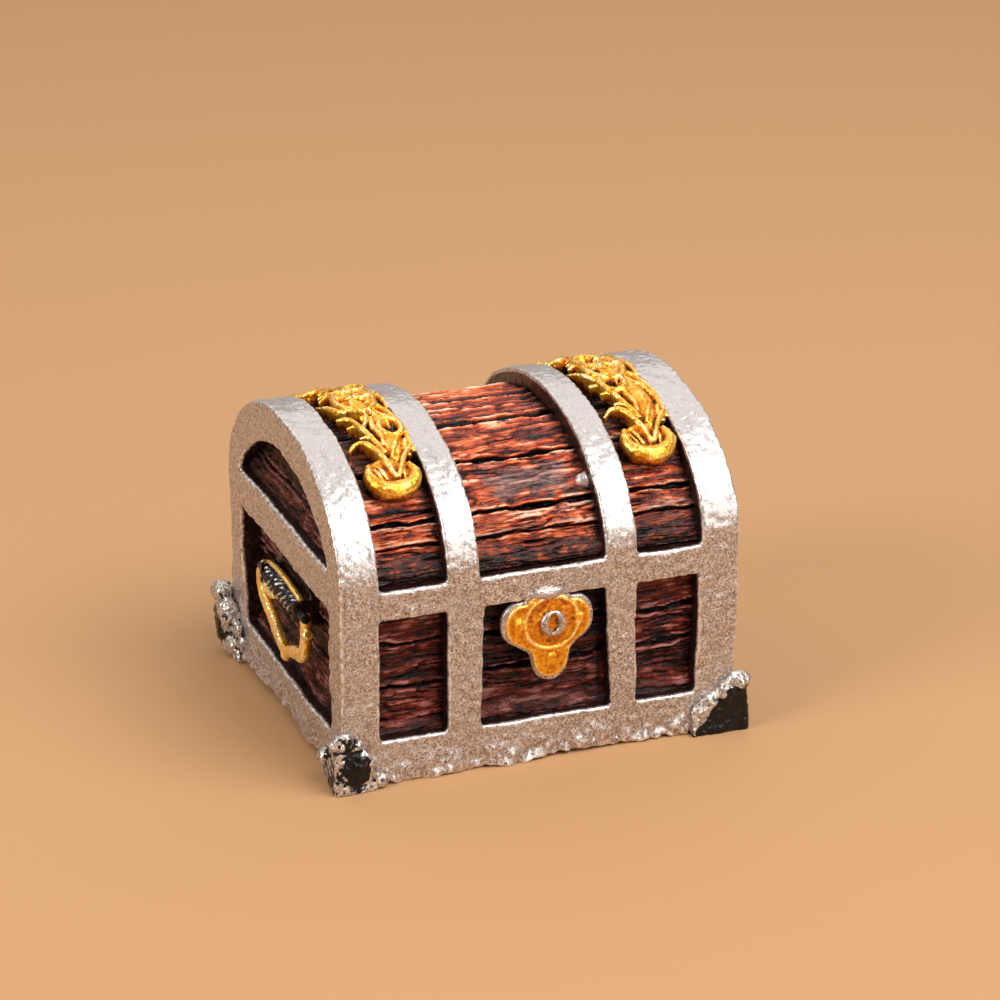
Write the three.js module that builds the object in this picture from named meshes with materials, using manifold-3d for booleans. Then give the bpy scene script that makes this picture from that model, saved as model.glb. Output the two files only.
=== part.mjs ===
// Bubbling treasure chest for an aquarium: a low strapped chest with a barrel lid.
// An airline feeds a diffuser under a coin heap. The air gathers in a bell under the
// lid until it lifts the lid about its rear hinges, escapes, and lets the lid fall shut.
// Millimetres, +Z up, front at -Y. The origin is at the bottom centre of the chest.

import * as THREE from "three";
import { mergeVertices } from "three/addons/utils/BufferGeometryUtils.js";
import Module from "manifold-3d";

const wasm = await Module();
wasm.setup();

// Driving dimensions
const WIDTH = 70;
const DEPTH = 61.8;
const RIM_Z = 34.7; // where the lid meets the body
const LID_RISE = 20;
const GAP = 0.3; // clearance between neighbouring pieces

const FRAME = 2.7; // thickness of the silver bars on the front, the rear and the lid
const END_FRAME = 3.2; // thickness of the silver bars on the two ends
const BOARD = 2;
const END_BAR = 6.7; // width of the outermost bars
const STRAP_OUT = 16.6;
const STRAP_IN = 11.1;
const PANEL_LOW = 7.6;
const PANEL_HIGH = 29.2;
const SKIRT_LOW = 0.6; // the frames stop just above the floor
const FLOOR_THICK = 4.6;

const LID_Z = RIM_Z + GAP / 2;
const BODY_TOP = RIM_Z - GAP / 2;
const STAVE_EDGES = [0, 29, 55, 79, 101, 125, 151, 180]; // degrees round the lid from the front
const STAVE_GAP = 0.45; // degrees, on each side of a joint
const MOON = { half: 24, rise: 12.1, low: 36.3 }; // window in each end of the lid

const FOOT = { proud: 2.6, leg: 8, height: 10, chamfer: 1.6 };
const HINGE = { x: 13.85, y: 31.65, z: RIM_Z, radius: 1.5, bore: 0.9, pin: 0.6, knuckle: 2.5 };
const HANDLE = { x: 35, z: 23, bore: 1.1, pin: 0.8, plate: 9.5, eye: 2.5, thick: 2.4 };
const LOCK = { x: 0.6, z: 25, back: 28.2, front: 31.7 };
const SCROLL = { half: 1.7, low: 0.9, rosettes: [68, 90, 112], shells: [47, 133], reach: [42, 138] };
const AIR = { z: 11, bore: 1.25, tube: 2.3, top: 17.6 };
const BELL = { radius: 15, wall: 1.2, low: 25, high: 38.5, stem: 3 };
const STAY = { x: 27.3, thick: 1.6, inner: 22.8, outer: 25.2, hook: 28, tip: 57, catch: 52, peg: 26.7 };

const radians = THREE.MathUtils.degToRad;

// Positions alone, rounded so that vertices which meet are the same to the last digit
function bareFaces(geometry) {
  const bare = geometry.index ? geometry.toNonIndexed() : geometry.clone();
  bare.deleteAttribute("normal");
  bare.deleteAttribute("uv");
  const { array } = bare.attributes.position;
  array.forEach((value, i) => {
    array[i] = Math.round(value * 1e4) / 1e4;
  });
  return bare;
}

// Joining and cutting
function solidOf(geometry) {
  const merged = mergeVertices(bareFaces(geometry), 1e-5);
  return new wasm.Manifold(
    new wasm.Mesh({
      numProp: 3,
      vertProperties: merged.attributes.position.array,
      triVerts: new Uint32Array(merged.index.array),
    }),
  );
}

function geometryOf(solid) {
  const mesh = solid.getMesh();
  const geometry = new THREE.BufferGeometry();
  geometry.setAttribute("position", new THREE.BufferAttribute(mesh.vertProperties, 3));
  geometry.setIndex(new THREE.BufferAttribute(mesh.triVerts, 1));
  return geometry;
}

const join = (first, ...rest) =>
  geometryOf(rest.reduce((sum, piece) => sum.add(solidOf(piece)), solidOf(first)));

const cut = (first, ...rest) =>
  geometryOf(rest.reduce((left, piece) => left.subtract(solidOf(piece)), solidOf(first)));

// Plain shapes
function box([x0, y0, z0], [x1, y1, z1]) {
  const geometry = new THREE.BoxGeometry(x1 - x0, y1 - y0, z1 - z0);
  return geometry.translate((x0 + x1) / 2, (y0 + y1) / 2, (z0 + z1) / 2);
}

const shapeOf = (points) => new THREE.Shape(points.map(([a, b]) => new THREE.Vector2(a, b)));

const extrude = (points, depth) =>
  new THREE.ExtrudeGeometry(shapeOf(points), { depth, bevelEnabled: false });

// An outline in (y, z), extruded along X from x0 to x1
function alongX(points, x0, x1) {
  const turn = new THREE.Matrix4().makeBasis(
    new THREE.Vector3(0, 1, 0),
    new THREE.Vector3(0, 0, 1),
    new THREE.Vector3(1, 0, 0),
  );
  return extrude(points, x1 - x0).applyMatrix4(turn).translate(x0, 0, 0);
}

// An outline in (x, z), extruded along Y from y0 to y1
function alongY(points, y0, y1) {
  return extrude(points, y1 - y0).rotateX(Math.PI / 2).translate(0, y1, 0);
}

const alongZ = (points, z0, z1) => extrude(points, z1 - z0).translate(0, 0, z0);

function disc(axis, radius, from, to, [a, b], sides = 20) {
  const geometry = new THREE.CylinderGeometry(radius, radius, to - from, sides);
  const middle = (from + to) / 2;
  if (axis === "x") return geometry.rotateZ(Math.PI / 2).translate(middle, a, b);
  if (axis === "y") return geometry.translate(a, middle, b);
  return geometry.rotateX(Math.PI / 2).translate(a, b, middle);
}

// A closed profile of (radius, height) turned about its height, which is then laid along an axis
function turned(profile, sides, axis) {
  const points = profile.map(([r, h]) => new THREE.Vector2(r, h));
  if (profile[0][0] > 0) points.push(points[0].clone());
  const geometry = new THREE.LatheGeometry(points, sides);
  if (axis === "x") return geometry.rotateZ(-Math.PI / 2);
  return axis === "z" ? geometry.rotateX(Math.PI / 2) : geometry;
}

// Half an outline, from the line of symmetry and back to it, made whole
const mirrored = (points) => [
  ...points,
  ...points.slice(1, -1).map(([a, b]) => [-a, b]).reverse(),
];

// The lid's curve: half an ellipse over the body, set in from the outer surface.
// The angle is 0 at the front rim, 90 at the crest and 180 at the rear rim.
function lidPoint(degrees, inset) {
  const angle = radians(degrees);
  const across = (DEPTH / 2 - inset) * Math.cos(angle);
  return [-across, LID_Z + (LID_RISE - GAP / 2 - inset) * Math.sin(angle)];
}

function lidArc(inset, from = 0, to = 180, step = 7.5) {
  const count = Math.max(1, Math.ceil((to - from) / step));
  return Array.from({ length: count + 1 }, (_, i) => lidPoint(from + ((to - from) * i) / count, inset));
}

const lidStrip = (outside, inside, from, to) => [
  ...lidArc(inside, from, to),
  ...lidArc(outside, from, to).reverse(),
];

// Body
const floorPlate = () =>
  box(
    [-WIDTH / 2 + END_FRAME + GAP, -DEPTH / 2 + FRAME + GAP, 0],
    [WIDTH / 2 - END_FRAME - GAP, DEPTH / 2 - FRAME - GAP, FLOOR_THICK],
  );

// The lattice of posts, straps and rails on the front, with three sunk panels
function longFrame() {
  const edge = WIDTH / 2;
  const front = -DEPTH / 2;
  const window = (x0, x1) => box([x0, front - 1, PANEL_LOW], [x1, front + FRAME + 1, PANEL_HIGH]);
  return cut(
    box([-edge, front, SKIRT_LOW], [edge, front + FRAME, BODY_TOP]),
    window(-edge + END_BAR, -STRAP_OUT),
    window(-STRAP_IN, STRAP_IN),
    window(STRAP_OUT, edge - END_BAR),
  );
}

// The rear lattice gives room to the hinge barrels
function rearFrame() {
  const notch = (x) => {
    const half = 2 * HINGE.knuckle;
    return disc("x", HINGE.radius + GAP + 0.05, x - half, x + half, [HINGE.y, HINGE.z]);
  };
  return cut(longFrame().rotateZ(Math.PI), notch(-HINGE.x), notch(HINGE.x));
}

function endFrame() {
  const half = DEPTH / 2 - FRAME - GAP;
  const open = DEPTH / 2 - END_BAR;
  const outer = -WIDTH / 2;
  return cut(
    box([outer, -half, SKIRT_LOW], [outer + END_FRAME, half, BODY_TOP]),
    box([outer - 1, -open, PANEL_LOW], [outer + END_FRAME + 1, open, PANEL_HIGH + 0.4]),
  );
}

const longBoards = () => {
  const front = -DEPTH / 2 + FRAME + GAP;
  const half = WIDTH / 2 - END_FRAME - GAP;
  return box([-half, front, FLOOR_THICK + GAP], [half, front + BOARD, BODY_TOP]);
};

const rearBoards = () =>
  cut(longBoards().rotateZ(Math.PI), disc("y", 2.3, DEPTH / 2 - 8, DEPTH / 2, [0, AIR.z]));

const endBoards = () => {
  const outer = -WIDTH / 2 + END_FRAME + GAP;
  const half = DEPTH / 2 - FRAME - BOARD - 2 * GAP;
  return box([outer, -half, FLOOR_THICK + GAP], [outer + BOARD, half, BODY_TOP]);
};

// An angle piece round one bottom corner
function cornerFoot() {
  const x = WIDTH / 2;
  const y = DEPTH / 2;
  const { proud, leg, height, chamfer } = FOOT;
  const outline = [
    [-x - proud, -y - proud + chamfer],
    [-x - proud + chamfer, -y - proud],
    [-x - proud + leg, -y - proud],
    [-x - proud + leg, -y - GAP],
    [-x - GAP, -y - GAP],
    [-x - GAP, -y - proud + leg],
    [-x - proud, -y - proud + leg],
  ];
  return alongZ(outline, 0, height);
}

// Lock: a trefoil plate whose top laps over the rail, and a keyhole ring
function lockPlate() {
  const { x, z, back, front } = LOCK;
  const outline = mirrored([
    [0, z + 6], [3.2, z + 5.2], [4.9, z + 3.5], [7.1, z + 2.7], [7.9, z + 0.2], [7.2, z - 2.2],
    [5.4, z - 3.8], [4.0, z - 4.9], [3.6, z - 7.8], [2.3, z - 9.8], [0, z - 10.5],
  ]);
  const rail = box([-9, -DEPTH / 2 - GAP, PANEL_HIGH - GAP], [9, 0, RIM_Z]);
  return cut(alongY(outline, -front, -back), rail).translate(x, 0, 0);
}

function keyholeRing() {
  const front = -LOCK.front - GAP;
  const ring = disc("y", 2.3, front - 0.9, front, [LOCK.x, LOCK.z], 24);
  return cut(ring, disc("y", 1, front - 2, front + 1, [LOCK.x, LOCK.z], 16));
}

// Drop handle on one end: a plate with two ears, a ridged pin and a bail
function handlePlate() {
  const back = -WIDTH / 2 + END_FRAME;
  const half = HANDLE.plate;
  const outline = mirrored([[0, 4.1], [4, 3.4], [half, 2.6], [half, -3.2], [5, -4.6], [0, -5.4]]);
  const plate = alongX(outline, back - 1.2, back).translate(0, 0, HANDLE.z);
  const ear = (y) => box([-HANDLE.x - 1.5, y, HANDLE.z - 1.9], [back - 0.6, y + 1.2, HANDLE.z + 1.9]);
  const bore = disc("y", HANDLE.bore, -half - 1, half + 1, [-HANDLE.x, HANDLE.z], 16);
  return cut(join(plate, ear(-half), ear(half - 1.2)), bore);
}

function handlePin() {
  const barrel = HANDLE.plate - 1.2 - GAP;
  const end = HANDLE.plate + HANDLE.eye + 0.6;
  const ridges = 6;
  const pitch = (2 * barrel) / ridges;
  const profile = [[0, -end], [HANDLE.pin, -end], [HANDLE.pin, -barrel]];
  for (let i = 0; i < ridges; i += 1) {
    const low = -barrel + i * pitch;
    profile.push([1.3, low + 0.2], [1.7, low + pitch / 2], [1.3, low + pitch - 0.2]);
  }
  profile.push([HANDLE.pin, barrel], [HANDLE.pin, end], [0, end]);
  return turned(profile, 14, "y").translate(-HANDLE.x, 0, HANDLE.z);
}

function handleBail() {
  const inner = HANDLE.plate + GAP;
  const outer = inner + HANDLE.eye;
  const outline = mirrored([
    [0, -13.6], [1.6, -12.8], [5, -12.5], [10, -11.6], [13.4, -9.4], [15, -6], [14.8, -2.4],
    [outer, 1.4], [inner, 1.4], [inner, -2.2], [11.8, -4.6], [11.2, -7], [8.6, -8.8],
    [4, -9.6], [0, -9.8],
  ]);
  const half = HANDLE.thick / 2;
  const loop = alongX(outline, -HANDLE.x - half, -HANDLE.x + half).translate(0, 0, HANDLE.z);
  return cut(loop, disc("y", HANDLE.bore, -outer - 1, outer + 1, [-HANDLE.x, HANDLE.z], 16));
}

// Hinge: the fixed leaf carries the two outer knuckles, the lid's leaf the middle one
function knuckle(from, to) {
  return disc("x", HINGE.radius, from, to, [HINGE.y, HINGE.z]);
}

const hingeBore = () => disc("x", HINGE.bore, -9, 9, [HINGE.y, HINGE.z], 12);

function bodyLeaf() {
  const near = HINGE.knuckle / 2 + GAP;
  const far = near + HINGE.knuckle;
  const y0 = DEPTH / 2 + GAP;
  const y1 = y0 + 0.9;
  const under = HINGE.z - HINGE.radius - GAP - 0.1;
  const parts = [-1, 1].flatMap((side) => {
    const [x0, x1] = side < 0 ? [-far, -near] : [near, far];
    return [knuckle(x0, x1), box([x0, y0, under - 1], [x1, y1, HINGE.z - 0.5])];
  });
  return cut(join(box([-far, y0, PANEL_HIGH + 0.2], [far, y1, under]), ...parts), hingeBore());
}

function lidLeaf() {
  const half = HINGE.knuckle / 2;
  const strap = alongX(lidStrip(-GAP - 0.9, -GAP, 159, 174.5), -2 * half, 2 * half);
  const neck = box([-half, DEPTH / 2 + GAP, HINGE.z + 0.5], [half, DEPTH / 2 + GAP + 0.9, HINGE.z + 2.5]);
  return cut(join(strap, neck, knuckle(-half, half)), hingeBore());
}

function hingePin() {
  const end = 1.5 * HINGE.knuckle + GAP + 0.2;
  const head = end + 0.8;
  const profile = [[0, -end], [HINGE.pin, -end], [HINGE.pin, end], [1.2, end], [1.2, head], [0, head]];
  return turned(profile, 12, "x").translate(0, HINGE.y, HINGE.z);
}

// Air path: barbed inlet in the rear wall, elbow pipe, diffuser under the bell
function airInlet() {
  const wall = DEPTH / 2 - FRAME - BOARD - GAP;
  const tip = DEPTH / 2 + 2.3;
  const profile = [
    [AIR.bore, wall - 1.8], [4, wall - 1.8], [4, wall - GAP], [1.9, wall - GAP], [1.9, tip - 4.2],
    [2.45, tip - 4.0], [1.9, tip - 2.2], [2.45, tip - 2.0], [1.75, tip], [AIR.bore, tip],
  ];
  return turned(profile, 20, "y").translate(0, 0, AIR.z);
}

function airPipe() {
  const start = new THREE.Vector3(0, DEPTH / 2 - FRAME - BOARD - 2 * GAP - 1.8, AIR.z);
  const bend = 3.6;
  const path = new THREE.CurvePath();
  const before = new THREE.Vector3(0, bend, AIR.z);
  const after = new THREE.Vector3(0, 0, AIR.z + bend);
  path.add(new THREE.LineCurve3(start, before));
  path.add(new THREE.QuadraticBezierCurve3(before, new THREE.Vector3(0, 0, AIR.z), after));
  path.add(new THREE.LineCurve3(after, new THREE.Vector3(0, 0, AIR.top)));
  const section = new THREE.Shape().absarc(0, 0, AIR.tube, 0, 2 * Math.PI);
  section.holes = [new THREE.Path().absarc(0, 0, AIR.bore, 0, 2 * Math.PI, true)];
  return new THREE.ExtrudeGeometry(section, { steps: 24, curveSegments: 6, extrudePath: path });
}

const airStone = () => {
  const socket = AIR.tube + GAP;
  const base = AIR.top - 1.6;
  const profile = [
    [socket, base], [3.8, base], [4, base + 1], [4, base + 3.6], [3.2, base + 4.8],
    [0, base + 5.2], [0, AIR.top + GAP], [socket, AIR.top + GAP],
  ];
  const points = [...profile.slice(6), ...profile.slice(0, 6)];
  return turned(points, 20, "z");
};

const ballast = () => box([-25, -21, FLOOR_THICK + GAP], [25, 21, FLOOR_THICK + GAP + 2.5]);

// A low heap of coins, with room for the air pipe
function coinHeap() {
  const base = FLOOR_THICK + 2.5 + 2 * GAP;
  const profile = [[0, base], [21, base], [20.4, base + 1.6], [17, base + 4], [12, base + 5.8]];
  profile.push([6, base + 6.9], [0, base + 7.2]);
  const heap = turned(profile, 28, "z");
  const room = AIR.tube + 0.5;
  const shaft = disc("z", room, base - 1, base + 9, [0, 0], 16);
  const slot = box([-room, 0, base - 1], [room, 30, AIR.z + room]);
  return cut(heap, shaft, slot);
}

// Lid
function lidEndFrame() {
  const outer = -WIDTH / 2;
  const window = Array.from({ length: 17 }, (_, i) => {
    const angle = (Math.PI * i) / 16;
    return [-MOON.half * Math.cos(angle), MOON.low + MOON.rise * Math.sin(angle)];
  });
  const ring = alongX(lidArc(0), outer, outer + END_FRAME);
  const arch = alongX(lidStrip(0, FRAME), outer, outer + END_BAR);
  return cut(join(ring, arch), alongX(window, outer - 1, outer + END_FRAME + 1));
}

function lidBand() {
  const strip = alongX(lidStrip(0, FRAME), -STRAP_OUT, -STRAP_IN);
  const room = HINGE.radius + GAP + 0.05;
  return cut(strip, disc("x", room, -STRAP_OUT - 1, -STRAP_IN + 1, [HINGE.y, HINGE.z]));
}

function lidStave(index) {
  const half = WIDTH / 2 - END_FRAME - GAP;
  const first = index === 0;
  const last = index === STAVE_EDGES.length - 2;
  const from = STAVE_EDGES[index] + (first ? 0 : STAVE_GAP);
  const to = STAVE_EDGES[index + 1] - (last ? 0 : STAVE_GAP);
  return alongX(lidStrip(FRAME + GAP, FRAME + GAP + BOARD, from, to), -half, half);
}

const lidEndBoard = () => {
  const outer = -WIDTH / 2 + END_FRAME + GAP;
  return alongX(lidArc(FRAME + BOARD + 2 * GAP), outer, outer + BOARD);
};

// Gold scrollwork: a spine over the lid with pierced rosettes and a shell at each end
function filigree() {
  const middle = -(WIDTH / 2 - END_BAR + STRAP_OUT) / 2;
  const strip = lidStrip(SCROLL.low, FRAME, ...SCROLL.reach);
  const spine = alongX(strip, middle - SCROLL.half, middle + SCROLL.half);
  const stand = (angle, radius, low, high) => {
    const post = new THREE.CylinderGeometry(radius, radius, high - low, 18);
    post.translate(0, (low + high) / 2, 0).rotateX(Math.PI / 2);
    const [y, z] = lidPoint(angle, FRAME);
    const [y0, z0] = lidPoint(angle - 1, FRAME);
    const [y1, z1] = lidPoint(angle + 1, FRAME);
    return post.rotateX(Math.atan2(z1 - z0, y1 - y0)).translate(middle, y, z);
  };
  const rosettes = SCROLL.rosettes.map((angle) => stand(angle, 3.7, 0, 3.9));
  const shells = SCROLL.shells.map((angle) => stand(angle, 4.3, 0, 3));
  const holes = SCROLL.rosettes.map((angle) => stand(angle, 1.4, 1, 6));
  return cut(join(spine, ...rosettes, ...shells), ...holes);
}

// The float: a cup, mouth down, that hangs from the crest of the lid on a stem
function airBell() {
  const { radius, wall, low, high, stem } = BELL;
  const crest = lidPoint(90, FRAME + BOARD + 2 * GAP)[1];
  const profile = [
    [0, high - wall], [radius - wall, high - wall], [radius - wall, low], [radius, low],
    [radius, high - 1], [radius - 1, high], [stem, high], [stem, crest], [0, crest],
  ];
  return turned(profile, 28, "z");
}

// A quadrant about the hinge axis: its hook meets the peg when the lid is fully open
function stayPoint(radius, degrees) {
  const angle = radians(degrees);
  return [HINGE.y - radius * Math.cos(angle), HINGE.z - radius * Math.sin(angle)];
}

function lidStay() {
  const { x, thick, inner, outer, hook, tip, catch: hold } = STAY;
  const above = -9;
  const turn = (from, to, count, radius) =>
    Array.from({ length: count + 1 }, (_, i) => stayPoint(radius, from + ((to - from) * i) / count));
  const outline = [
    ...turn(above, tip, 12, inner),
    stayPoint(hook, tip),
    stayPoint(hook, hold),
    ...turn(hold, above, 10, outer),
  ];
  const pad = box([x, 3.5, LID_Z + 0.6], [WIDTH / 2 - END_FRAME - BOARD - 2 * GAP, 12, LID_Z + 7]);
  return join(alongX(outline, x, x + thick), pad);
}

const stayPeg = () => {
  const end = WIDTH / 2 - END_FRAME - BOARD - 2 * GAP;
  return disc("x", 1.1, STAY.x - 0.5, end, stayPoint(STAY.peg, 9), 14);
};

// Finishes
const finish = (color, roughness, metalness) =>
  new THREE.MeshStandardMaterial({ color, roughness, metalness });

const silver = () => finish(0xb9b4ae, 0.42, 0.7);
const gold = () => finish(0xd9a21b, 0.35, 0.7);
const lidWood = () => finish(0x8c3323, 0.5, 0);
const bodyWood = () => finish(0x4a1a12, 0.5, 0);
const black = () => finish(0x141312, 0.3, 0);
const steel = () => finish(0x9a9a9c, 0.35, 1);
const clearPlastic = () => finish(0xd9dee0, 0.25, 0);
const ironGrey = () => finish(0x3c3b3a, 0.7, 0.4);
const stone = () => finish(0x7f8a92, 0.95, 0);

const chest = new THREE.Group();

function add(name, geometry, material) {
  const faces = bareFaces(geometry);
  faces.computeVertexNormals();
  const mesh = new THREE.Mesh(faces, material);
  mesh.name = name;
  chest.add(mesh);
}

// The same pieces, seen in a mirror through the plane x = 0
function flipX(geometry) {
  const flipped = bareFaces(geometry).scale(-1, 1, 1);
  const { array } = flipped.attributes.position;
  for (let i = 0; i < array.length; i += 9) {
    for (let k = 0; k < 3; k += 1) {
      [array[i + 3 + k], array[i + 6 + k]] = [array[i + 6 + k], array[i + 3 + k]];
    }
  }
  return flipped;
}

function addBothEnds(name, make, material) {
  add("left_" + name, make(), material());
  add("right_" + name, flipX(make()), material());
}

add("floor_plate", floorPlate(), silver());
add("front_frame", longFrame(), silver());
add("rear_frame", rearFrame(), silver());
addBothEnds("end_frame", endFrame, silver);
add("front_boards", longBoards(), bodyWood());
add("rear_boards", rearBoards(), bodyWood());
addBothEnds("end_boards", endBoards, bodyWood);

add("front_left_foot", cornerFoot(), black());
add("front_right_foot", flipX(cornerFoot()), black());
add("rear_right_foot", cornerFoot().rotateZ(Math.PI), black());
add("rear_left_foot", flipX(cornerFoot().rotateZ(Math.PI)), black());

add("lock_plate", lockPlate(), gold());
add("keyhole_ring", keyholeRing(), silver());
addBothEnds("handle_plate", handlePlate, gold);
addBothEnds("handle_pin", handlePin, black);
addBothEnds("handle_bail", handleBail, gold);

for (const [side, x] of [["left", -HINGE.x], ["right", HINGE.x]]) {
  add(side + "_hinge_body_leaf", bodyLeaf().translate(x, 0, 0), silver());
  add(side + "_hinge_lid_leaf", lidLeaf().translate(x, 0, 0), silver());
  add(side + "_hinge_pin", hingePin().translate(x, 0, 0), steel());
}

add("air_inlet", airInlet(), clearPlastic());
add("air_pipe", airPipe(), clearPlastic());
add("air_stone", airStone(), stone());
add("ballast_plate", ballast(), ironGrey());
add("coin_heap", coinHeap(), gold());
add("lid_stay_peg", stayPeg(), steel());

addBothEnds("lid_end_frame", lidEndFrame, silver);
addBothEnds("lid_band", lidBand, silver);
addBothEnds("lid_end_board", lidEndBoard, lidWood);
addBothEnds("lid_filigree", filigree, gold);
for (let i = 0; i < STAVE_EDGES.length - 1; i += 1) {
  add("lid_stave_" + (i + 1), lidStave(i), lidWood());
}
add("air_bell", airBell(), clearPlastic());
add("lid_stay", lidStay(), steel());

export default chest;
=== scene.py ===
"""Looks of the bubbling treasure chest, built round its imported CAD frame.

Shapes are worked out in millimetres in the CAD frame and stored in metres.
"""

import math

import bmesh
import bpy
import numpy as np
from mathutils import Matrix, Vector


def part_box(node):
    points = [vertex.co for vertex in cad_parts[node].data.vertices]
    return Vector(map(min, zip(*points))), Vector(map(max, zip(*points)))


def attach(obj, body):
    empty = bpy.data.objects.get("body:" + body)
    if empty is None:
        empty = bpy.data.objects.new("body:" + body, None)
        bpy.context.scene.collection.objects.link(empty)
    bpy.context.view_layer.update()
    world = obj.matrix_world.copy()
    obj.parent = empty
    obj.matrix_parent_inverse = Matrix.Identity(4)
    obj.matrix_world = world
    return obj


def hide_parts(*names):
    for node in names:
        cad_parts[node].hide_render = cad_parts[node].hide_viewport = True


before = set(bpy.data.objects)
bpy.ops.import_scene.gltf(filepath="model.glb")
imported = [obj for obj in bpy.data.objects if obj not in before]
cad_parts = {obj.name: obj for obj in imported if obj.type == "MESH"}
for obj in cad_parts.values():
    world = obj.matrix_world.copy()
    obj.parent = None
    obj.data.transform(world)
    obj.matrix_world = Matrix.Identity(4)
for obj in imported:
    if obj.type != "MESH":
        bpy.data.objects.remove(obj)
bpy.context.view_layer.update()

MM = 0.001
scene = bpy.context.scene


# ---------------------------------------------------------------- dimensions, read from the frame


def box_mm(node):
    low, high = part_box(node)
    return np.array(low) / MM, np.array(high) / MM


FRONT_LOW, FRONT_HIGH = box_mm("front_frame")
BAND_LOW, BAND_HIGH = box_mm("left_lid_band")
ARCH_HIGH = box_mm("left_lid_end_frame")[1]

# The body, the seam between body and lid, and the edges of the bars across the front
HALF_WIDTH = FRONT_HIGH[0]
HALF_DEPTH = -FRONT_LOW[1]
RIM = (FRONT_HIGH[2] + BAND_LOW[2]) / 2
LID_RISE = BAND_HIGH[2] - RIM
POST = -ARCH_HIGH[0]
STRAP_OUT, STRAP_IN = -BAND_LOW[0], -BAND_HIGH[0]
BAY_EDGES = (-POST, -STRAP_OUT, -STRAP_IN, STRAP_IN, STRAP_OUT, POST)
BAY_SPLIT = 14
END_OPEN = HALF_DEPTH - (HALF_WIDTH - POST)

# The windows, how far the boards lie below the frames, and the half-moon window in the end of the lid
PANEL_LOW, PANEL_HIGH = 7.6, 29.2
FRONT_SUNK = 3.0
END_SUNK = 3.5
BOARD_THICKNESS = 2.0
MOON_HALF, MOON_LOW, MOON_RISE, MOON_POWER = 24.0, 36.3, 12.1, 1.6

# The joints between the lid's planks in degrees, and the length of one degree round the lid
STAVE_EDGES = (0, 29, 55, 79, 101, 125, 151, 180)
DEGREE = 0.45

HINGE_Y = 31.65
BARREL_Z = 23.0

# How much coarser grids are while other pieces are worked on
COARSE = 1.0



# ---------------------------------------------------------------- camera, floor and light


CAMERA_TARGET = Vector((4.0, 0.0, 34.05)) * MM
CAMERA_AZIMUTH, CAMERA_ELEVATION = math.radians(-20.62), math.radians(22.35)
CAMERA_DISTANCE = 0.6349
CAMERA_LENS = 133.9


def make_camera():
    level = math.cos(CAMERA_ELEVATION)
    towards = Vector(
        (math.sin(CAMERA_AZIMUTH) * level, -math.cos(CAMERA_AZIMUTH) * level, math.sin(CAMERA_ELEVATION))
    )
    data = bpy.data.cameras.new("camera")
    data.lens = CAMERA_LENS
    data.sensor_width = 36
    data.clip_start = 0.01
    data.dof.use_dof = False
    camera = bpy.data.objects.new("camera", data)
    camera.location = CAMERA_TARGET + towards * CAMERA_DISTANCE
    camera.rotation_euler = towards.to_track_quat("Z", "Y").to_euler()
    scene.collection.objects.link(camera)
    scene.camera = camera


def add_light(name, place, aim, size, watts, colour=(1, 1, 1)):
    data = bpy.data.lights.new(name, "AREA")
    data.shape = "RECTANGLE"
    data.size, data.size_y = size
    data.energy = watts
    data.color = colour
    light = bpy.data.objects.new(name, data)
    light.location = place
    light.rotation_euler = (Vector(place) - Vector(aim)).to_track_quat("Z", "Y").to_euler()
    scene.collection.objects.link(light)


def make_studio():
    scene.view_settings.view_transform = "Standard"
    world = bpy.data.worlds.new("studio")
    scene.world = world
    world.use_nodes = True
    background = world.node_tree.nodes["Background"]
    background.inputs["Color"].default_value = (0.9, 0.82, 0.74, 1)
    background.inputs["Strength"].default_value = 0.22
    aim = (0, 0, 0.03)
    add_light("key", (0.33, -0.46, 0.83), aim, (0.8, 0.8), 12.5, (0.98, 0.985, 1))
    add_light("front", (0.36, -0.9, 0.3), aim, (0.5, 0.4), 2.0, (1, 0.985, 0.96))
    add_light("left", (-0.84, -0.2, 0.5), aim, (0.5, 0.5), 7.0, (1, 0.985, 0.96))
    add_light("rear", (0.05, 0.5, 0.62), aim, (1.3, 0.8), 3.5, (1, 0.985, 0.97))
    mesh = bpy.data.meshes.new("floor")
    far = 4
    mesh.from_pydata([(-far, -far, 0), (far, -far, 0), (far, far, 0), (-far, far, 0)], [], [(0, 1, 2, 3)])
    floor = bpy.data.objects.new("floor", mesh)
    floor.location.z = -0.00002
    scene.collection.objects.link(floor)
    material, t = new_material("floor")
    t.set("Base Color", (0.44, 0.235, 0.1, 1))
    t.set("Roughness", 0.75)
    mesh.materials.append(material)


# ---------------------------------------------------------------- noise


def lattice(i, j, k, seed):
    """A fixed number from 0 to 1 for each point of a lattice"""
    h = (i * 73856093) ^ (j * 19349663) ^ (k * 83492791) ^ ((seed + 7) * 2654435761)
    for _ in range(2):
        h = h & 0xFFFFFFFF
        h = (((h >> 16) ^ h) * 0x45D9F3B) & 0xFFFFFFFF
    return ((h >> 16) ^ h) / 0xFFFFFFFF


def noise(points, size=1.0, seed=0):
    """Smooth noise from -1 to 1, with features about size across"""
    scaled = np.asarray(points, float) / size
    cell = np.floor(scaled).astype(np.int64)
    part = scaled - cell
    ease = part * part * part * (part * (part * 6 - 15) + 10)
    total = 0
    for corner in range(8):
        step = [(corner >> axis) & 1 for axis in range(3)]
        weight = 1
        for axis in range(3):
            weight = weight * (ease[..., axis] if step[axis] else 1 - ease[..., axis])
        total = total + weight * lattice(*(cell[..., a] + step[a] for a in range(3)), seed)
    return total * 2 - 1


def fractal(points, size=1.0, octaves=3, seed=0):
    total, strength = 0, 1.0
    for octave in range(octaves):
        total = total + strength * noise(points, size / 2**octave, seed + octave * 17)
        strength /= 2
    return total / (2 - 2 ** (1 - octaves))


def plane(u, v, w=0.0):
    return np.stack([u, v, np.zeros_like(u) + w], axis=-1)


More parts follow.
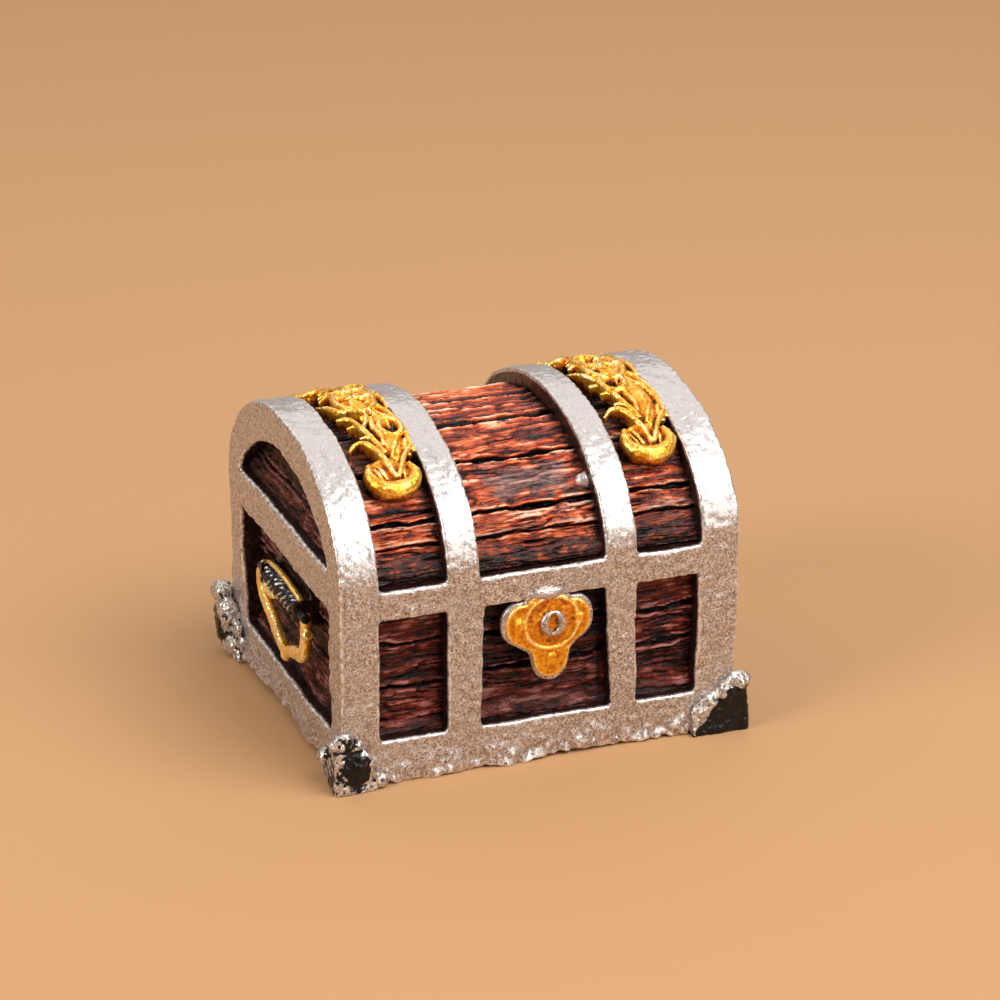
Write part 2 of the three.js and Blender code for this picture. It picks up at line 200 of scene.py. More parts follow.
def ease(value, low, high):
    part = np.clip((value - low) / (high - low), 0, 1)
    return part * part * (3 - 2 * part)


# ---------------------------------------------------------------- closed shells, in millimetres


def circle(sides):
    """Angles round a circle"""
    return 2 * np.pi * np.arange(sides) / sides


def block(x0, x1, y0, y1, z0, z1):
    corners = [(x, y, z) for x in (x0, x1) for y in (y0, y1) for z in (z0, z1)]
    faces = [(0, 1, 3, 2), (4, 6, 7, 5), (0, 4, 5, 1), (2, 3, 7, 6), (0, 2, 6, 4), (1, 5, 7, 3)]
    return np.array(corners, float), faces


def tiles(rings, sides, closed=False):
    """Quads between rings of points, with a flat cap at each end unless the rings close"""
    faces = []
    for ring in range(rings if closed else rings - 1):
        base, following = ring * sides, ((ring + 1) % rings) * sides
        for side in range(sides):
            near = (side + 1) % sides
            faces.append((base + side, base + near, following + near, following + side))
    if not closed:
        faces.append(tuple(reversed(range(sides))))
        faces.append(tuple(range((rings - 1) * sides, rings * sides)))
    return faces


def ball(centre, radius, squash=(1, 1, 1), sides=14):
    rings = sides // 2
    points = []
    for ring in range(rings + 1):
        polar = math.pi * min(max(ring, 0.15), rings - 0.15) / rings
        for side in range(sides):
            turn = 2 * math.pi * side / sides
            flat = math.sin(polar)
            direction = (flat * math.cos(turn), flat * math.sin(turn), math.cos(polar))
            points.append([c + radius * s * d for c, s, d in zip(centre, squash, direction)])
    return np.array(points, float), tiles(rings + 1, sides)


def prism(outline, axis, low, high):
    """An outline in the other two axes, in x, y, z order, carried along one axis"""
    points = []
    for place in (low, high):
        for a, b in outline:
            point = [a, b]
            point.insert("xyz".index(axis), place)
            points.append(point)
    return np.array(points, float), tiles(2, len(outline))


def sweep(path, ups, sections, closed=False):
    """A strand: one section of (across, up) offsets, or one for each point, carried along a path"""
    path, ups, sections = (np.asarray(v, float) for v in (path, ups, sections))
    if closed:
        tangents = np.roll(path, -1, axis=0) - np.roll(path, 1, axis=0)
    else:
        tangents = np.gradient(path, axis=0)
    tangents /= np.linalg.norm(tangents, axis=1, keepdims=True)
    across = np.cross(tangents, ups)
    across /= np.linalg.norm(across, axis=1, keepdims=True)
    up = np.cross(across, tangents)
    rings = path[:, None] + across[:, None] * sections[..., :1] + up[:, None] * sections[..., 1:]
    return rings.reshape(-1, 3), tiles(len(path), sections.shape[-2], closed)


def curve(controls, per_span=6, closed=False):
    """A smooth run through control points, which may carry widths and heights as well"""
    controls = np.asarray(controls, float)
    count = len(controls)
    if closed:
        padded = np.concatenate([controls[-1:], controls, controls[:2]])
        spans = count
    else:
        before, after = 2 * controls[:1] - controls[1:2], 2 * controls[-1:] - controls[-2:-1]
        padded = np.concatenate([before, controls, after])
        spans = count - 1
    points = []
    for span in range(spans):
        p0, p1, p2, p3 = padded[span : span + 4]
        square, cube = 2 * p0 - 5 * p1 + 4 * p2 - p3, 3 * p1 - p0 - 3 * p2 + p3
        for t in np.arange(per_span) / per_span:
            points.append(0.5 * (2 * p1 + (p2 - p0) * t + square * t**2 + cube * t**3))
    if not closed:
        points.append(controls[-1])
    return np.array(points)


def mirrored(half):
    """A closed outline from the half of it that runs from the middle line to the middle line"""
    return half + [(-a, b) for a, b in half[-2:0:-1]]


def round_section(radius, sides=10):
    turns = circle(sides)
    return np.stack([radius * np.cos(turns), radius * np.sin(turns)], axis=-1)


def lid_curve(degrees, inset):
    """(y, z) on the lid, set in from its outer surface; 0 is the front rim and 90 the crest"""
    angle = np.radians(degrees)
    return -(HALF_DEPTH - inset) * np.cos(angle), RIM + (LID_RISE - inset) * np.sin(angle)


def on_lid(x, degrees, inset):
    y, z = lid_curve(degrees, inset)
    return np.stack([np.zeros_like(y) + x, y, z], axis=-1)


def lid_normal(degrees):
    angle = np.radians(degrees)
    ups = np.stack([np.zeros_like(angle), -np.cos(angle) * LID_RISE, np.sin(angle) * HALF_DEPTH], axis=-1)
    return ups / np.linalg.norm(ups, axis=-1, keepdims=True)


# ---------------------------------------------------------------- meshes


def plain_mesh(name, points, faces, scale=MM):
    mesh = bpy.data.meshes.new(name)
    mesh.from_pydata((np.asarray(points) * scale).tolist(), [], [tuple(f) for f in faces])
    mesh.update()
    return mesh


def quads_of(mesh, scale):
    points = np.empty(len(mesh.vertices) * 3, np.float32)
    mesh.vertices.foreach_get("co", points)
    corners = np.empty(len(mesh.loops), np.int32)
    mesh.loops.foreach_get("vertex_index", corners)
    return points.reshape(-1, 3).astype(float) / scale, corners.reshape(-1, 4)


def cast(shells, pitch, soften):
    """One moulded surface round a set of overlapping shells: points in millimetres, and quads"""
    points, faces, start = [], [], 0
    for shell_points, shell_faces in shells:
        points.append(shell_points)
        faces.extend(tuple(int(i) + start for i in face) for face in shell_faces)
        start += len(shell_points)
    mesh = plain_mesh("shells", np.concatenate(points), faces, scale=1)
    body = bmesh.new()
    body.from_mesh(mesh)
    bmesh.ops.recalc_face_normals(body, faces=body.faces)
    body.to_mesh(mesh)
    body.free()
    return recast(mesh, pitch, soften, 1)


def recast(mesh, pitch, soften, scale):
    thing = bpy.data.objects.new("shells", mesh)
    scene.collection.objects.link(thing)
    remesh = thing.modifiers.new("join", "REMESH")
    remesh.mode = "VOXEL"
    remesh.voxel_size = pitch * scale
    smooth = thing.modifiers.new("soften", "SMOOTH")
    smooth.factor = 0.5
    smooth.iterations = soften
    bpy.context.view_layer.update()
    solved = thing.evaluated_get(bpy.context.evaluated_depsgraph_get())
    result = bpy.data.meshes.new_from_object(solved)
    points, faces = quads_of(result, scale)
    bpy.data.objects.remove(thing)
    bpy.data.meshes.remove(mesh)
    bpy.data.meshes.remove(result)
    return points, faces


def gather(values, faces, count):
    """The sum over each vertex of a value on each of its faces"""
    total = np.zeros((count, values.shape[-1]))
    for corner in range(faces.shape[1]):
        for axis in range(values.shape[-1]):
            total[:, axis] += np.bincount(faces[:, corner], values[:, axis], count)
    return total


def normals_of(points, faces):
    flat = np.cross(points[faces[:, 2]] - points[faces[:, 0]], points[faces[:, 3]] - points[faces[:, 1]])
    total = gather(flat, faces, len(points))
    return total / np.maximum(np.linalg.norm(total, axis=1, keepdims=True), 1e-12)


def cavity(points, faces, steps=3):
    """How far each vertex stands out of its surroundings, in millimetres; hollows are negative"""
    smooth = points
    share = np.bincount(faces.ravel(), minlength=len(points))[:, None]
    for _ in range(steps):
        centres = smooth[faces].mean(axis=1)
        smooth = gather(centres, faces, len(points)) / np.maximum(share, 1)
    return ((points - smooth) * normals_of(points, faces)).sum(axis=1)


def roughen(points, faces, amount):
    """The points, moved out along their normals by an amount in millimetres"""
    return points + normals_of(points, faces) * amount[:, None]


def finish_piece(mesh, body, material, replaced):
    """Puts a mesh into the scene as a piece that rides on a body"""
    thing = bpy.data.objects.new(mesh.name, mesh)
    scene.collection.objects.link(thing)
    mesh.materials.append(material)
    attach(thing, body)
    if replaced:
        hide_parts(*replaced)


def set_values(mesh, values):
    for key, numbers in values.items():
        layer = mesh.attributes.new(key, "FLOAT", "POINT")
        layer.data.foreach_set("value", np.asarray(numbers, np.float32))


def add_piece(name, points, faces, body, material, replaced=(), values=None, crease=None):
    mesh = plain_mesh(name, points, faces)
    set_values(mesh, values or {})
    shape = bmesh.new()
    shape.from_mesh(mesh)
    bmesh.ops.recalc_face_normals(shape, faces=shape.faces)
    shape.to_mesh(mesh)
    shape.free()
    mesh.shade_smooth()
    if crease:
        mesh.set_sharp_from_angle(angle=math.radians(crease))
    finish_piece(mesh, body, material, replaced)


def add_cast(node, points, faces, material, relief):
    add_piece(node + "_cast", points, faces, "chest_body", material, (node,), {"relief": relief})


def trimmed(name, source, cuts, keep=None):
    """A copy of a mesh with everything behind each cutting plane taken off and the cuts capped"""
    shape = bmesh.new()
    shape.from_mesh(source)
    if keep:
        loose = [v for v in shape.verts if not keep(v.co / MM)]
        bmesh.ops.delete(shape, geom=loose, context="VERTS")
    for place, facing in cuts:
        everything = shape.verts[:] + shape.edges[:] + shape.faces[:]
        origin, normal = Vector(place) * MM, Vector(facing)
        bmesh.ops.bisect_plane(shape, geom=everything, plane_co=origin, plane_no=normal, clear_inner=True)
        rim = [edge for edge in shape.edges if edge.is_boundary]
        if rim:
            caps = bmesh.ops.triangle_fill(shape, use_beauty=True, edges=rim, normal=-normal)
            for face in caps["geom"]:
                if isinstance(face, bmesh.types.BMFace):
                    face.smooth = False
        for edge in rim:
            edge.smooth = False
    bmesh.ops.recalc_face_normals(shape, faces=shape.faces)
    mesh = bpy.data.meshes.new(name)
    shape.to_mesh(mesh)
    shape.free()
    return mesh


def sheet_faces(nu, nv, flip=False, start=0):
    faces = []
    for row in range(nv):
        for column in range(nu):
            a = start + row * (nu + 1) + column
            quad = (a, a + 1, a + nu + 2, a + nu + 1)
            faces.append(tuple(reversed(quad)) if flip else quad)
    return faces


def slab(face, back):
    """A closed board between two equal grids of points"""
    rows, columns = face.shape[:2]
    nu, nv = columns - 1, rows - 1
    start = rows * columns
    faces = sheet_faces(nu, nv) + sheet_faces(nu, nv, True, start)
    edge = list(range(columns)) + [r * columns + nu for r in range(1, rows)]
    edge += [nv * columns + c for c in range(nu - 1, -1, -1)] + [r * columns for r in range(nv - 1, 0, -1)]
    for i, a in enumerate(edge):
        b = edge[(i + 1) % len(edge)]
        faces.append((b, a, a + start, b + start))
    return np.concatenate([face.reshape(-1, 3), back.reshape(-1, 3)]), faces


# ---------------------------------------------------------------- materials


class Tree:
    """Short names for the nodes that the finishes share"""

    def __init__(self, tree):
        self.tree = tree
        self.shader = tree.nodes["Principled BSDF"]
        self.place = self.node("ShaderNodeTexCoord").outputs["Object"]

    def node(self, kind, **settings):
        node = self.tree.nodes.new(kind)
        for key, value in settings.items():
            setattr(node, key, value)
        return node

    def put(self, socket, value):
        if isinstance(value, bpy.types.NodeSocket):
            self.tree.links.new(value, socket)
        elif isinstance(value, tuple) and len(value) == 3 and socket.type == "RGBA":
            socket.default_value = (*value, 1)
        else:
            socket.default_value = value

    def set(self, name, value):
        self.put(self.shader.inputs[name], value)

    def value(self, name):
        """A number stored on the mesh"""
        return self.node("ShaderNodeAttribute", attribute_name=name).outputs["Fac"]

    def stretched(self, along):
        node = self.node("ShaderNodeMapping")
        self.put(node.inputs["Vector"], self.place)
        node.inputs["Scale"].default_value = along
        return node.outputs["Vector"]

    def noise(self, size_mm, detail=3.0, roughness=0.55, vector=None):
        node = self.node("ShaderNodeTexNoise")
        self.put(node.inputs["Vector"], vector or self.place)
        node.inputs["Scale"].default_value = 1 / (size_mm * MM)
        node.inputs["Detail"].default_value = detail
        node.inputs["Roughness"].default_value = roughness
        return node.outputs["Fac"]

    def cells(self, size_mm, output="Color"):
        node = self.node("ShaderNodeTexVoronoi")
        self.put(node.inputs["Vector"], self.place)
        node.inputs["Scale"].default_value = 1 / (size_mm * MM)
        return node.outputs[output]

    def math(self, operation, a, b=0.0, c=0.0):
        node = self.node("ShaderNodeMath", operation=operation)
        for socket, value in zip(node.inputs, (a, b, c)):
            self.put(socket, value)
        return node.outputs[0]

    def plus(self, a, b):
        return self.math("ADD", a, b)

    def times(self, a, b):
        return self.math("MULTIPLY", a, b)

    def swing(self, value, amount):
        """A value from 0 to 1, scaled and centred on 0"""
        return self.math("MULTIPLY_ADD", value, amount, -amount / 2)

    def grain(self):
        """The mottle of flake paint"""
        return self.plus(self.times(self.cells(0.26), 0.6), self.times(self.noise(0.5, 3), 0.4))

    def remap(self, value, low, high, to_low=0.0, to_high=1.0):
        node = self.node("ShaderNodeMapRange", interpolation_type="SMOOTHSTEP")
        names = ("Value", "From Min", "From Max", "To Min", "To Max")
        for key, given in zip(names, (value, low, high, to_low, to_high)):
            self.put(node.inputs[key], given)
        return node.outputs["Result"]

    def ramp(self, value, *stops):
        node = self.node("ShaderNodeValToRGB")
        self.put(node.inputs["Fac"], value)
        elements = node.color_ramp.elements
        while len(elements) < len(stops):
            elements.new(0.5)
        for element, (position, colour) in zip(elements, stops):
            element.position = position
            element.color = (*colour, 1)
        return node.outputs["Color"]

    def mix(self, share, a, b):
        node = self.node("ShaderNodeMix", data_type="RGBA")
        self.put(node.inputs["Factor"], share)
        for name, colour in (("A", a), ("B", b)):
            self.put([s for s in node.inputs if s.name == name and s.type == "RGBA"][0], colour)
        return [s for s in node.outputs if s.type == "RGBA"][0]

    def bump(self, height, depth_mm, strength=1.0, normal=None):
        node = self.node("ShaderNodeBump")
        node.inputs["Strength"].default_value = strength
        node.inputs["Distance"].default_value = depth_mm * MM
        self.put(node.inputs["Height"], height)
        if normal is not None:
            self.put(node.inputs["Normal"], normal)
        return node.outputs["Normal"]

    def tilted(self, spread, amount):
        """The normal, tipped a different way in each small flake"""
        normal = self.node("ShaderNodeNewGeometry").outputs["Normal"]
        shift = self.node("ShaderNodeVectorMath", operation="MULTIPLY_ADD")
        self.put(shift.inputs[0], spread)
        shift.inputs[1].default_value = (amount,) * 3
        shift.inputs[2].default_value = (-amount / 2,) * 3
        total = self.node("ShaderNodeVectorMath", operation="ADD")
        self.put(total.inputs[0], normal)
        self.put(total.inputs[1], shift.outputs[0])
        unit = self.node("ShaderNodeVectorMath", operation="NORMALIZE")
        self.put(unit.inputs[0], total.outputs[0])
        return unit.outputs[0]


def new_material(name):
    material = bpy.data.materials.new(name)
    material.use_nodes = True
    return material, Tree(material.node_tree)


def silver_finish():
    """Aluminium-flake paint, with the wood's brown wash, deepened into painted shade, where it runs down
    into the recesses; painted highlights on its edges and on the lid's upper faces
    """
    material, t = new_material("silver_paint")
    flake = t.cells(0.28)
    grain = t.grain()
    stops = ((0.25, (0.17, 0.12, 0.1)), (0.46, (0.41, 0.325, 0.285)), (0.74, (0.78, 0.7, 0.655)))
    paint = t.ramp(grain, *stops)
    cloud = t.remap(t.noise(7, 4), 0.3, 0.75)
    paint = t.mix(t.times(cloud, 0.35), paint, (0.47, 0.445, 0.43))
    # painted light: the lid's upper faces are blended to a lighter, even grey
    paint = t.mix(t.times(t.value("top"), 0.75), paint, (0.58, 0.54, 0.525))
    # painted highlight: edges that stand out are lightened towards near-white
    edge = t.remap(t.plus(t.value("edge"), t.swing(t.noise(0.7, 3), 0.7)), 0.42, 0.95)
    paint = t.mix(t.times(edge, 0.7), paint, (0.92, 0.85, 0.81))
    # the wood's brown wash down the recess walls, deepened to near-black as painted shade, deeper than about
    # a millimetre below the outer surface
    sunk = t.plus(t.value("inset"), t.times(t.noise(0.8, 3), 0.7))
    wash = t.remap(sunk, 0.88, 1.06)
    brown = t.ramp(t.noise(0.8, 4), (0.4, (0.004, 0.002, 0.002)), (0.75, (0.04, 0.008, 0.005)))
    t.set("Base Color", t.mix(wash, paint, brown))
    t.set("Metallic", t.remap(wash, 0.0, 1.0, 0.72, 0.0))
    t.set("Roughness", t.remap(t.noise(0.7, 3), 0.25, 0.75, 0.27, 0.42))
    rough = t.plus(t.noise(0.35, 3), t.times(t.noise(1.6, 3), 1.5))
    t.set("Normal", t.bump(rough, 0.05, 0.7, t.tilted(flake, 0.17)))
    return material


def wood_finish(name, high, middle, low, grey, lip_highlight_lift):
    """Paint over carved planks: a black wash in the cracks, dry-brushed colour on the ridges, a painted
    highlight on the lips of the cracks, and painted shade beside frames, bands and scrollwork
    """
    material, t = new_material(name)
    along = t.stretched((1.0, 0.16, 1.0) if name == "end_wood" else (0.16, 1.0, 1.0))
    streak = t.noise(0.55, 5, 0.6, along)
    patch = t.noise(3.6, 3, 0.5)
    relief = t.plus(t.value("relief"), t.swing(streak, 0.95))
    relief = t.plus(relief, t.swing(patch, 0.5))
    # the near-white lip colour at the top of the ramp is a painted highlight on the lips of the cracks
    lip = tuple(min(1, 1.5 * c + lip_highlight_lift) for c in high)
    black = (0.003, 0.0015, 0.0015)
    colour = t.ramp(relief, (0.19, black), (0.37, low), (0.57, middle), (0.79, high), (0.95, lip))
    worn = t.times(t.remap(t.noise(3.0, 4, 0.6, along), 0.57, 0.63), t.remap(relief, 0.4, 0.6))
    worn = t.math("MAXIMUM", t.times(worn, grey), t.value("bare"))
    hair = t.math("ABSOLUTE", t.math("SUBTRACT", t.noise(1.3, 3, 0.5, along), 0.5))
    hair = t.times(t.remap(hair, 0.006, 0.034, 0.9, 0.0), t.remap(t.noise(2.2, 2), 0.4, 0.55))
    greys = ((0.42, (0.01, 0.007, 0.007)), (0.66, (0.12, 0.075, 0.073)), (0.95, (0.36, 0.23, 0.2)))
    old = t.ramp(relief, *greys)
    colour = t.mix(hair, t.mix(worn, colour, old), black)
    # painted shade: the boards blend to near-black beside frames, bands and scrollwork, together with the
    # dark wash
    colour = t.mix(t.value("wash"), colour, (0.004, 0.002, 0.002))
    t.set("Base Color", colour)
    t.set("Roughness", t.remap(t.noise(0.6, 3), 0.3, 0.7, 0.16, 0.36))
    t.set("Specular IOR Level", 0.28 if name == "lid_wood" else 0.17)
    t.set("Normal", t.bump(t.plus(streak, t.noise(0.3, 2)), 0.2, 0.9))
    return material


def gold_finish():
    """Bright gold paint that has not reached the bottoms of the relief; its palest stop is a painted
    highlight, and its near-black end carries the painted shade and shadow set on the pieces
    """
    material, t = new_material("gold_paint")
    height = t.plus(t.value("relief"), t.swing(t.noise(0.7, 4), 0.5))
    # the palest stop is a painted highlight; the near-black end paints the shade that pieces set
    colour = t.ramp(
        height,
        (0.12, (0.01, 0.003, 0.002)),
        (0.28, (0.13, 0.022, 0.004)),
        (0.4, (0.56, 0.15, 0.005)),
        (0.6, (0.9, 0.41, 0.025)),
        (0.8, (1.0, 0.62, 0.14)),
        (0.95, (1.0, 0.8, 0.42)),
    )
    t.set("Base Color", colour)
    t.set("Metallic", t.remap(height, 0.2, 0.5, 0.0, 0.75))
    t.set("Roughness", t.remap(t.noise(0.45, 3), 0.3, 0.7, 0.2, 0.36))
    t.set("Normal", t.bump(t.noise(0.3, 3), 0.05, 0.8, t.tilted(t.cells(0.28), 0.32)))
    return material


def two_tone_finish(name, dark, bright, dark_rough=0.22):
    """Black paint with silver brushed over the parts that stand out"""
    material, t = new_material(name)
    share = t.remap(t.plus(t.value("relief"), t.swing(t.noise(0.6, 4), 0.5)), 0.42, 0.6)
    grain = t.grain()
    dull, light = tuple(0.3 * c for c in bright), tuple(1.3 * c for c in bright)
    paint = t.ramp(grain, (0.2, dull), (0.55, bright), (0.8, light))
    t.set("Specular IOR Level", 0.3)
    t.set("Base Color", t.mix(share, dark, paint))
    t.set("Metallic", t.remap(share, 0.0, 1.0, 0.0, 0.8))
    t.set("Roughness", t.remap(share, 0.0, 1.0, dark_rough, 0.36))
    t.set("Normal", t.bump(t.noise(0.5, 3), 0.08, 0.8, t.tilted(t.cells(0.3), 0.3)))
    return material


def plain_finish(name, colour, roughness, metallic, grain_mm, grain_depth, spread=0.12):
    """One colour with a fine grain"""
    material, t = new_material(name)
    shade = t.noise(grain_mm * 4, 4)
    darker = tuple(c * (1 - spread) for c in colour)
    lighter = tuple(min(1, c * (1 + spread)) for c in colour)
    t.set("Base Color", t.mix(shade, darker, lighter))
    t.set("Metallic", metallic)
    t.set("Roughness", t.remap(t.noise(grain_mm, 3), 0.3, 0.7, roughness * 0.85, roughness * 1.15))
    t.set("Normal", t.bump(t.noise(grain_mm, 4), grain_depth, 0.6))
    return material


def milky_finish():
    """Smooth moulded plastic that lets a little light in"""
    material, t = new_material("air_fittings")
    t.set("Base Color", t.mix(t.noise(4, 3), (0.62, 0.67, 0.7), (0.78, 0.81, 0.83)))
    t.set("Roughness", t.remap(t.noise(1.2, 3), 0.3, 0.7, 0.2, 0.34))
    t.set("Subsurface Weight", 0.25)
    t.set("Subsurface Scale", 0.002)
    t.set("Normal", t.bump(t.noise(2, 3), 0.03, 0.5))
    return material


def stone_finish():
    """Porous sintered stone"""
    material, t = new_material("air_stone")
    pores = t.cells(0.5, "Distance")
    t.set("Base Color", t.ramp(pores, (0.1, (0.08, 0.12, 0.16)), (0.6, (0.26, 0.36, 0.43))))
    t.set("Roughness", 0.95)
    t.set("Normal", t.bump(pores, 0.25, 1.0))
    return material


# ---------------------------------------------------------------- silver frames


def shrink_below(points):
    """The body narrows a little towards its base"""
    x, y, z = points.T
    low = ease(RIM - 4 - z, 0, 24)
    return np.stack([x * (1 - 0.002 * low), y * (1 - 0.006 * low), z], axis=-1)


# A blot of silver paint against the right-hand band: across, angle round the lid, depth
SPLASH = (10.7, 37.5, 3.6)
# How strongly an edge that stands out is lightened as a painted highlight, for each millimetre
EDGE_HIGHLIGHT_GAIN = 8.0


def band_line(inset):
    """(y, z) up the front, over the lid and down the rear"""
    y, z = lid_curve(np.linspace(0, 180, 61), inset)
    return np.concatenate([y[:1], y, y[-1:]]), np.concatenate([[RIM - 3], z, [RIM - 3]])


def silver_shells():
    """The overlapping bars, arches and bands of the frames"""
    shells = []
    ledge = RIM - 0.35
    skirt = 0.15
    deep = FRONT_SUNK + 0.3
    bars = ((-HALF_WIDTH, -POST), (-STRAP_OUT, -STRAP_IN), (STRAP_IN, STRAP_OUT), (POST, HALF_WIDTH))
    for side in (-1, 1):
        y0, y1 = sorted((side * HALF_DEPTH, side * (HALF_DEPTH - deep)))
        for x0, x1 in bars:
            shells.append(block(x0, x1, y0, y1, skirt, ledge))
        shells.append(block(-HALF_WIDTH, HALF_WIDTH, y0, y1, skirt, PANEL_LOW))
        shells.append(block(-HALF_WIDTH, HALF_WIDTH, y0, y1, PANEL_HIGH, ledge))
    turns = np.linspace(0, math.pi, 49)
    moon_y = -MOON_HALF * np.sign(np.cos(turns)) * np.abs(np.cos(turns)) ** (2 / MOON_POWER)
    moon_z = MOON_LOW + MOON_RISE * np.abs(np.sin(turns)) ** (2 / MOON_POWER)
    for side in (-1, 1):
        x0, x1 = sorted((side * HALF_WIDTH, side * (HALF_WIDTH - END_SUNK - 0.4)))
        for y0, y1 in ((-HALF_DEPTH, -END_OPEN), (END_OPEN, HALF_DEPTH)):
            shells.append(block(x0, x1, y0, y1, skirt, RIM))
        shells.append(block(x0, x1, -HALF_DEPTH, HALF_DEPTH, 1.3, PANEL_LOW))
        shells.append(block(x0, x1, -HALF_DEPTH + 0.3, HALF_DEPTH - 0.3, PANEL_HIGH + 0.4, MOON_LOW))
        outer_y, outer_z = lid_curve(np.degrees(turns), 0)
        rings = []
        for oy, oz, my, mz in zip(outer_y, outer_z, moon_y, moon_z):
            rings += [(x0, oy, oz), (x1, oy, oz), (x1, my, mz), (x0, my, mz)]
        shells.append((np.array(rings), tiles(len(turns), 4)))
    for x0, x1 in bars:
        (oy, oz), (iy, iz) = (band_line(inset) for inset in (0, deep))
        corners = ((x0, oy, oz), (x1, oy, oz), (x1, iy, iz), (x0, iy, iz))
        points = np.stack([np.stack([np.full_like(oy, x), y, z], axis=-1) for x, y, z in corners], axis=1)
        shells.append((points.reshape(-1, 3), tiles(len(oy), 4)))
    shells.append(ball(on_lid(*SPLASH), 1.4, (1.1, 1.0, 1.0)))
    return shells


def silver_inset(points):
    """How far each point lies below the outer surface of the frames"""
    x, y, z = points.T
    reach = np.sqrt((y / HALF_DEPTH) ** 2 + (np.maximum(z - RIM, 0) / LID_RISE) ** 2)
    lid_inset = (1 - reach) * (HALF_DEPTH + 1.2 * (LID_RISE - HALF_DEPTH) * ease(z, RIM, RIM + LID_RISE))
    inset = np.minimum(lid_inset, HALF_WIDTH - np.abs(x))
    return inset - 3 * ease(np.linalg.norm(points - on_lid(*SPLASH), axis=1), 2.1, 1.3)


def silver_surface():
    """The cast frames with their uneven edges, lumpy base and paint values, painted highlights among them,
    in one mesh
    """
    pitch = 0.3
    points, faces = cast(silver_shells(), pitch, 5)
    x, y, z = points.T
    inset = silver_inset(points)
    normals = normals_of(points, faces)
    outside = ease(inset, 1.6, 0.4)
    sway = np.stack([fractal(points, 11, 2, seed) for seed in (1, 2, 3)], axis=-1)
    shift = sway * np.array([0.3, 0.3, 0.34])
    shift += normals * (0.13 * fractal(points, 3.2, 2, 5) + 0.1 * noise(points, 0.9, 6))[:, None]
    # the sides of the front windows lean
    window = (y < 0) * ease(z, RIM, RIM - 4)
    rising = np.clip((z - PANEL_LOW) / (PANEL_HIGH - PANEL_LOW), 0, 1)
    leans = ((-0.6, POST, 1.6), (0.4 + 0.5 * rising, -STRAP_IN, 1.3), (1.0 - 0.9 * rising, STRAP_IN, 1.3))
    for lean, bar, reach in leans:
        shift[:, 0] += lean * np.exp(-(((x - bar) / reach) ** 2)) * window
    # the skirt flares out, with a ragged lower edge
    lumps = 0.55 * noise(points, 6, 8) + 0.4 * noise(points, 2.2, 9) + 0.35 * noise(points, 1.1, 10)
    flare = ease(z, 6.5, 0.3) * (0.5 + lumps) * outside
    shift[:, 0] += np.sign(x) * ease(np.abs(x), 33.5, 34.8) * flare
    shift[:, 1] += np.sign(y) * ease(np.abs(y), 29.6, 30.6) * flare
    below = points * (1, 1, 0)
    shift[:, 2] += ease(z, 3.5, 0.8) * (0.35 * noise(below, 5, 12) + 0.3 * noise(below, 1.7, 13))
    moved = shrink_below(points + shift)
    moved[:, 2] = np.maximum(moved[:, 2], 0.02)
    whole = plain_mesh("silver_cast", moved, faces)
    # values for painted light: the lid's upper faces, and the edges that stand out
    top = ease(z, RIM + 1, RIM + 6) * ease(np.abs(normals[:, 0]), 0.8, 0.5)
    edge = np.clip(cavity(moved, faces, 3) * EDGE_HIGHLIGHT_GAIN, 0, 1)
    set_values(whole, {"inset": inset, "edge": edge, "top": top})
    whole.shade_smooth()
    return whole


def make_silver(silver):
    """The frames of the body and the lid, cut from one surface"""
    whole = silver_surface()
    under = ((0, 0, RIM), (0, 0, -1))
    corner = HALF_DEPTH - FRONT_SUNK + 0.2
    inward = [((0, -corner, 0), (0, 1, 0)), ((0, corner, 0), (0, -1, 0))]
    body = {
        "front_frame": [under, ((0, -corner, 0), (0, -1, 0))],
        "rear_frame": [under, ((0, corner, 0), (0, 1, 0))],
        "left_end_frame": [under, *inward, ((0, 0, 0), (-1, 0, 0))],
        "right_end_frame": [under, *inward, ((0, 0, 0), (1, 0, 0))],
    }
    middle = (POST + STRAP_OUT) / 2
    beyond = HALF_WIDTH + 3
    lid = {
        "left_lid_end_frame": (-beyond, -middle),
        "left_lid_band": (-middle, 0),
        "right_lid_band": (0, middle),
        "right_lid_end_frame": (middle, beyond),
    }
    for node, cuts in body.items():
        finish_piece(trimmed(node + "_cast", whole, cuts), "chest_body", silver, (node,))
    upper = trimmed("upper", whole, [((0, 0, RIM), (0, 0, 1))])
    for node, (x0, x1) in lid.items():
        mesh = trimmed(node + "_cast", upper, [], keep=lambda p, a=x0, b=x1: a < p.x <= b)
        finish_piece(mesh, "lid", silver, (node,))
    bpy.data.meshes.remove(whole)
    bpy.data.meshes.remove(upper)


# ---------------------------------------------------------------- planks


